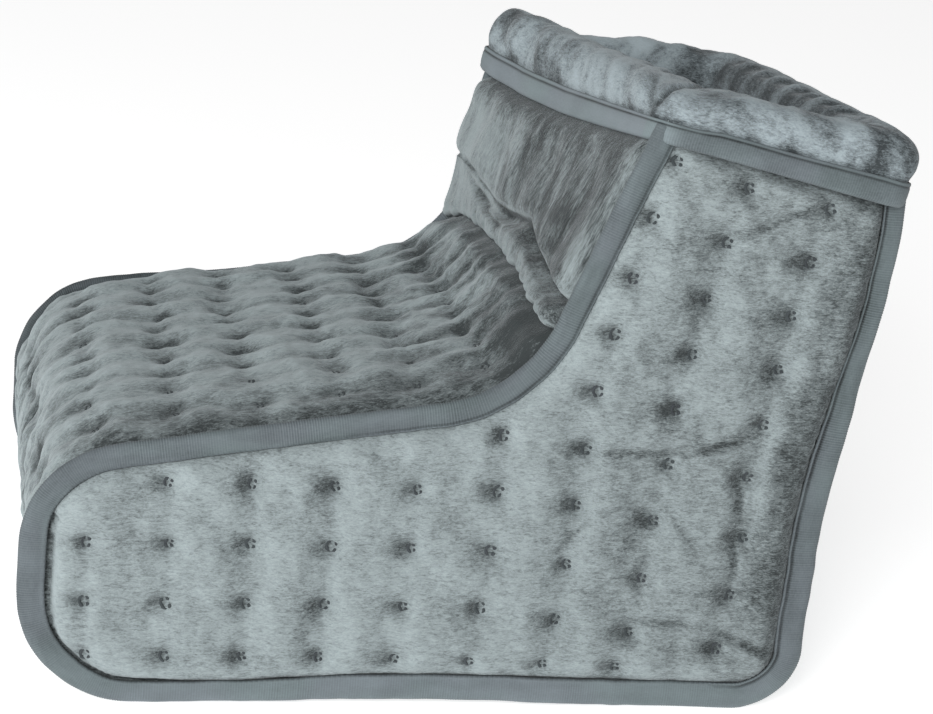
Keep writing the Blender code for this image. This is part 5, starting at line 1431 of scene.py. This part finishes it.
for side, word in ((-1, "left"), (1, "right")):
    tuft_marks(f"tufts_{word}", list(tuft_places.values()), on_side(side), 131)
tuft_marks("tufts_instep", vamp_places, on_gusset(vamp_rise), 132, 0.7)
tuft_marks("tufts_heel", heel_places, on_gusset(heel_rise), 133, 0.85)


# The patch round the inlet: half its size, its corners, and its section as growth and depth
PATCH_HALF_WIDTH = 23.0
PATCH_HALF_HEIGHT = 16.0
PATCH_RADIUS = 6.0
PATCH_LEAST_RADIUS = 0.4
PATCH_STEPS = 10
PATCH_SECTION = ((-0.2, -5.9), (0.0, -5.5), (-0.3, -4.75), (-1.2, -4.45), (-2.2, -4.6), (-3.0, -4.45),
                 (-9.0, -4.5), (-9.4, -4.6), (-9.4, -5.9))


def patch_piece():
    """Cloth patch round the inlet, with rounded corners and a turned edge."""
    rows = []
    for grow, depth in PATCH_SECTION:
        ring = []
        r = max(PATCH_RADIUS + grow, PATCH_LEAST_RADIUS)
        for i, (hand_y, hand_z) in enumerate(((1, 1), (-1, 1), (-1, -1), (1, -1))):
            for k in range(PATCH_STEPS + 1):
                angle = math.pi / 2 * (i + k / PATCH_STEPS)
                y = hand_y * (PATCH_HALF_WIDTH + grow - r) + r * math.cos(angle)
                z = INLET_HEIGHT + hand_z * (PATCH_HALF_HEIGHT + grow - r) + r * math.sin(angle)
                ring.append((depth, y, z))
        rows.append(ring)
    x, y, z = np.moveaxis(np.array(rows), -1, 0)
    quads = grid_faces(*x.shape, loop_columns=True, loop_rows=True)
    cloth = np.stack([y, z, x], -1)
    return mesh_from("patch_cloth", to_part(x, y, z), quads, tape_cloth, cloth, 0.5 + 0 * x)


wear(patch_piece(), "binding_tape", "inlet_patch")

# Finishes of the nodes that keep their form
finishes = {
    moulded("plastic_black", (0.03, 0.03, 0.033), 0.45): ("inlet_housing",),
    moulded("metal_tinned", (0.70, 0.68, 0.64), 0.28, 1.0, 0.15): (
        "inlet_pin_live", "inlet_pin_neutral", "splice_live", "splice_neutral"),
    moulded("wire_red", (0.62, 0.08, 0.05), 0.5): ("heating_wire",),
    moulded("lead_white", (0.80, 0.80, 0.78), 0.5): ("lead_live", "lead_neutral", "lead_link"),
    moulded("cutout_ivory", (0.78, 0.76, 0.70), 0.4): ("thermal_cutout",),
}
for finish, names in finishes.items():
    for name in names:
        nodes[name].data.materials.clear()
        nodes[name].data.materials.append(finish)

# Floor, light and camera, in metres
FLOOR_REACH = 8.0
FLOOR_COLOUR = (0.9, 0.9, 0.9)
FLOOR_GLOW = 0.66
WORLD_STRENGTH = 0.22
LIGHT_TARGET = (0.0, 0.0, 0.1)
# Lights: name, place, size and power in watts
LIGHTS = (("key", (-0.85, -1.9, 1.1), 0.7, 31), ("side_left", (-2.0, -0.4, 0.9), 1.0, 9))
floor_mesh = bpy.data.meshes.new("floor")
corners = [(x * FLOOR_REACH, y * FLOOR_REACH, 0) for x, y in ((-1, -1), (1, -1), (1, 1), (-1, 1))]
floor_mesh.from_pydata(corners, [], [(0, 1, 2, 3)])
floor = bpy.data.objects.new("floor", floor_mesh)
bpy.context.scene.collection.objects.link(floor)
floor_finish, _, floor_shader = node_tree("floor_pale", 0.8, 0.0, FLOOR_COLOUR)
floor_shader.inputs["Emission Color"].default_value = (1, 1, 1, 1)
floor_shader.inputs["Emission Strength"].default_value = FLOOR_GLOW
floor_mesh.materials.append(floor_finish)


def area_light(name, place, size, power):
    """A soft square light aimed at the boot."""
    data = bpy.data.lights.new(name, "AREA")
    data.shape = "SQUARE"
    data.size = size
    data.energy = power
    lamp = bpy.data.objects.new(name, data)
    lamp.location = place
    lamp.rotation_euler = (Vector(LIGHT_TARGET) - Vector(place)).to_track_quat("-Z", "Y").to_euler()
    bpy.context.scene.collection.objects.link(lamp)


for name, place, size, power in LIGHTS:
    area_light(name, place, size, power)

world = bpy.data.worlds.new("studio")
world.use_nodes = True
background = world.node_tree.nodes["Background"]
background.inputs["Color"].default_value = (1, 1, 1, 1)
background.inputs["Strength"].default_value = WORLD_STRENGTH
bpy.context.scene.world = world
bpy.context.scene.view_settings.view_transform = "Standard"
bpy.context.scene.view_settings.look = "None"

YAW, PITCH, ROLL = math.radians(12.348), math.radians(18.517), math.radians(6.168)
CAMERA_PLACE = (-0.2016, -1.0155, 0.4633)
LENS = 96.9
SENSOR_WIDTH = 36.0
CLIP_END = 50.0
ahead = Vector((math.sin(YAW) * math.cos(PITCH), math.cos(YAW) * math.cos(PITCH), -math.sin(PITCH)))
level_right = Vector((math.cos(YAW), -math.sin(YAW), 0.0))
level_up = level_right.cross(ahead)
right = level_right * math.cos(ROLL) + level_up * math.sin(ROLL)
up = level_up * math.cos(ROLL) - level_right * math.sin(ROLL)
camera_data = bpy.data.cameras.new("camera")
camera_data.lens = LENS
camera_data.sensor_width = SENSOR_WIDTH
camera_data.sensor_fit = "HORIZONTAL"
camera_data.clip_end = CLIP_END
camera = bpy.data.objects.new("camera", camera_data)
turned = Matrix((right, up, -ahead)).transposed().to_4x4()
camera.matrix_world = Matrix.Translation(CAMERA_PLACE) @ turned
bpy.context.scene.collection.objects.link(camera)
bpy.context.scene.camera = camera
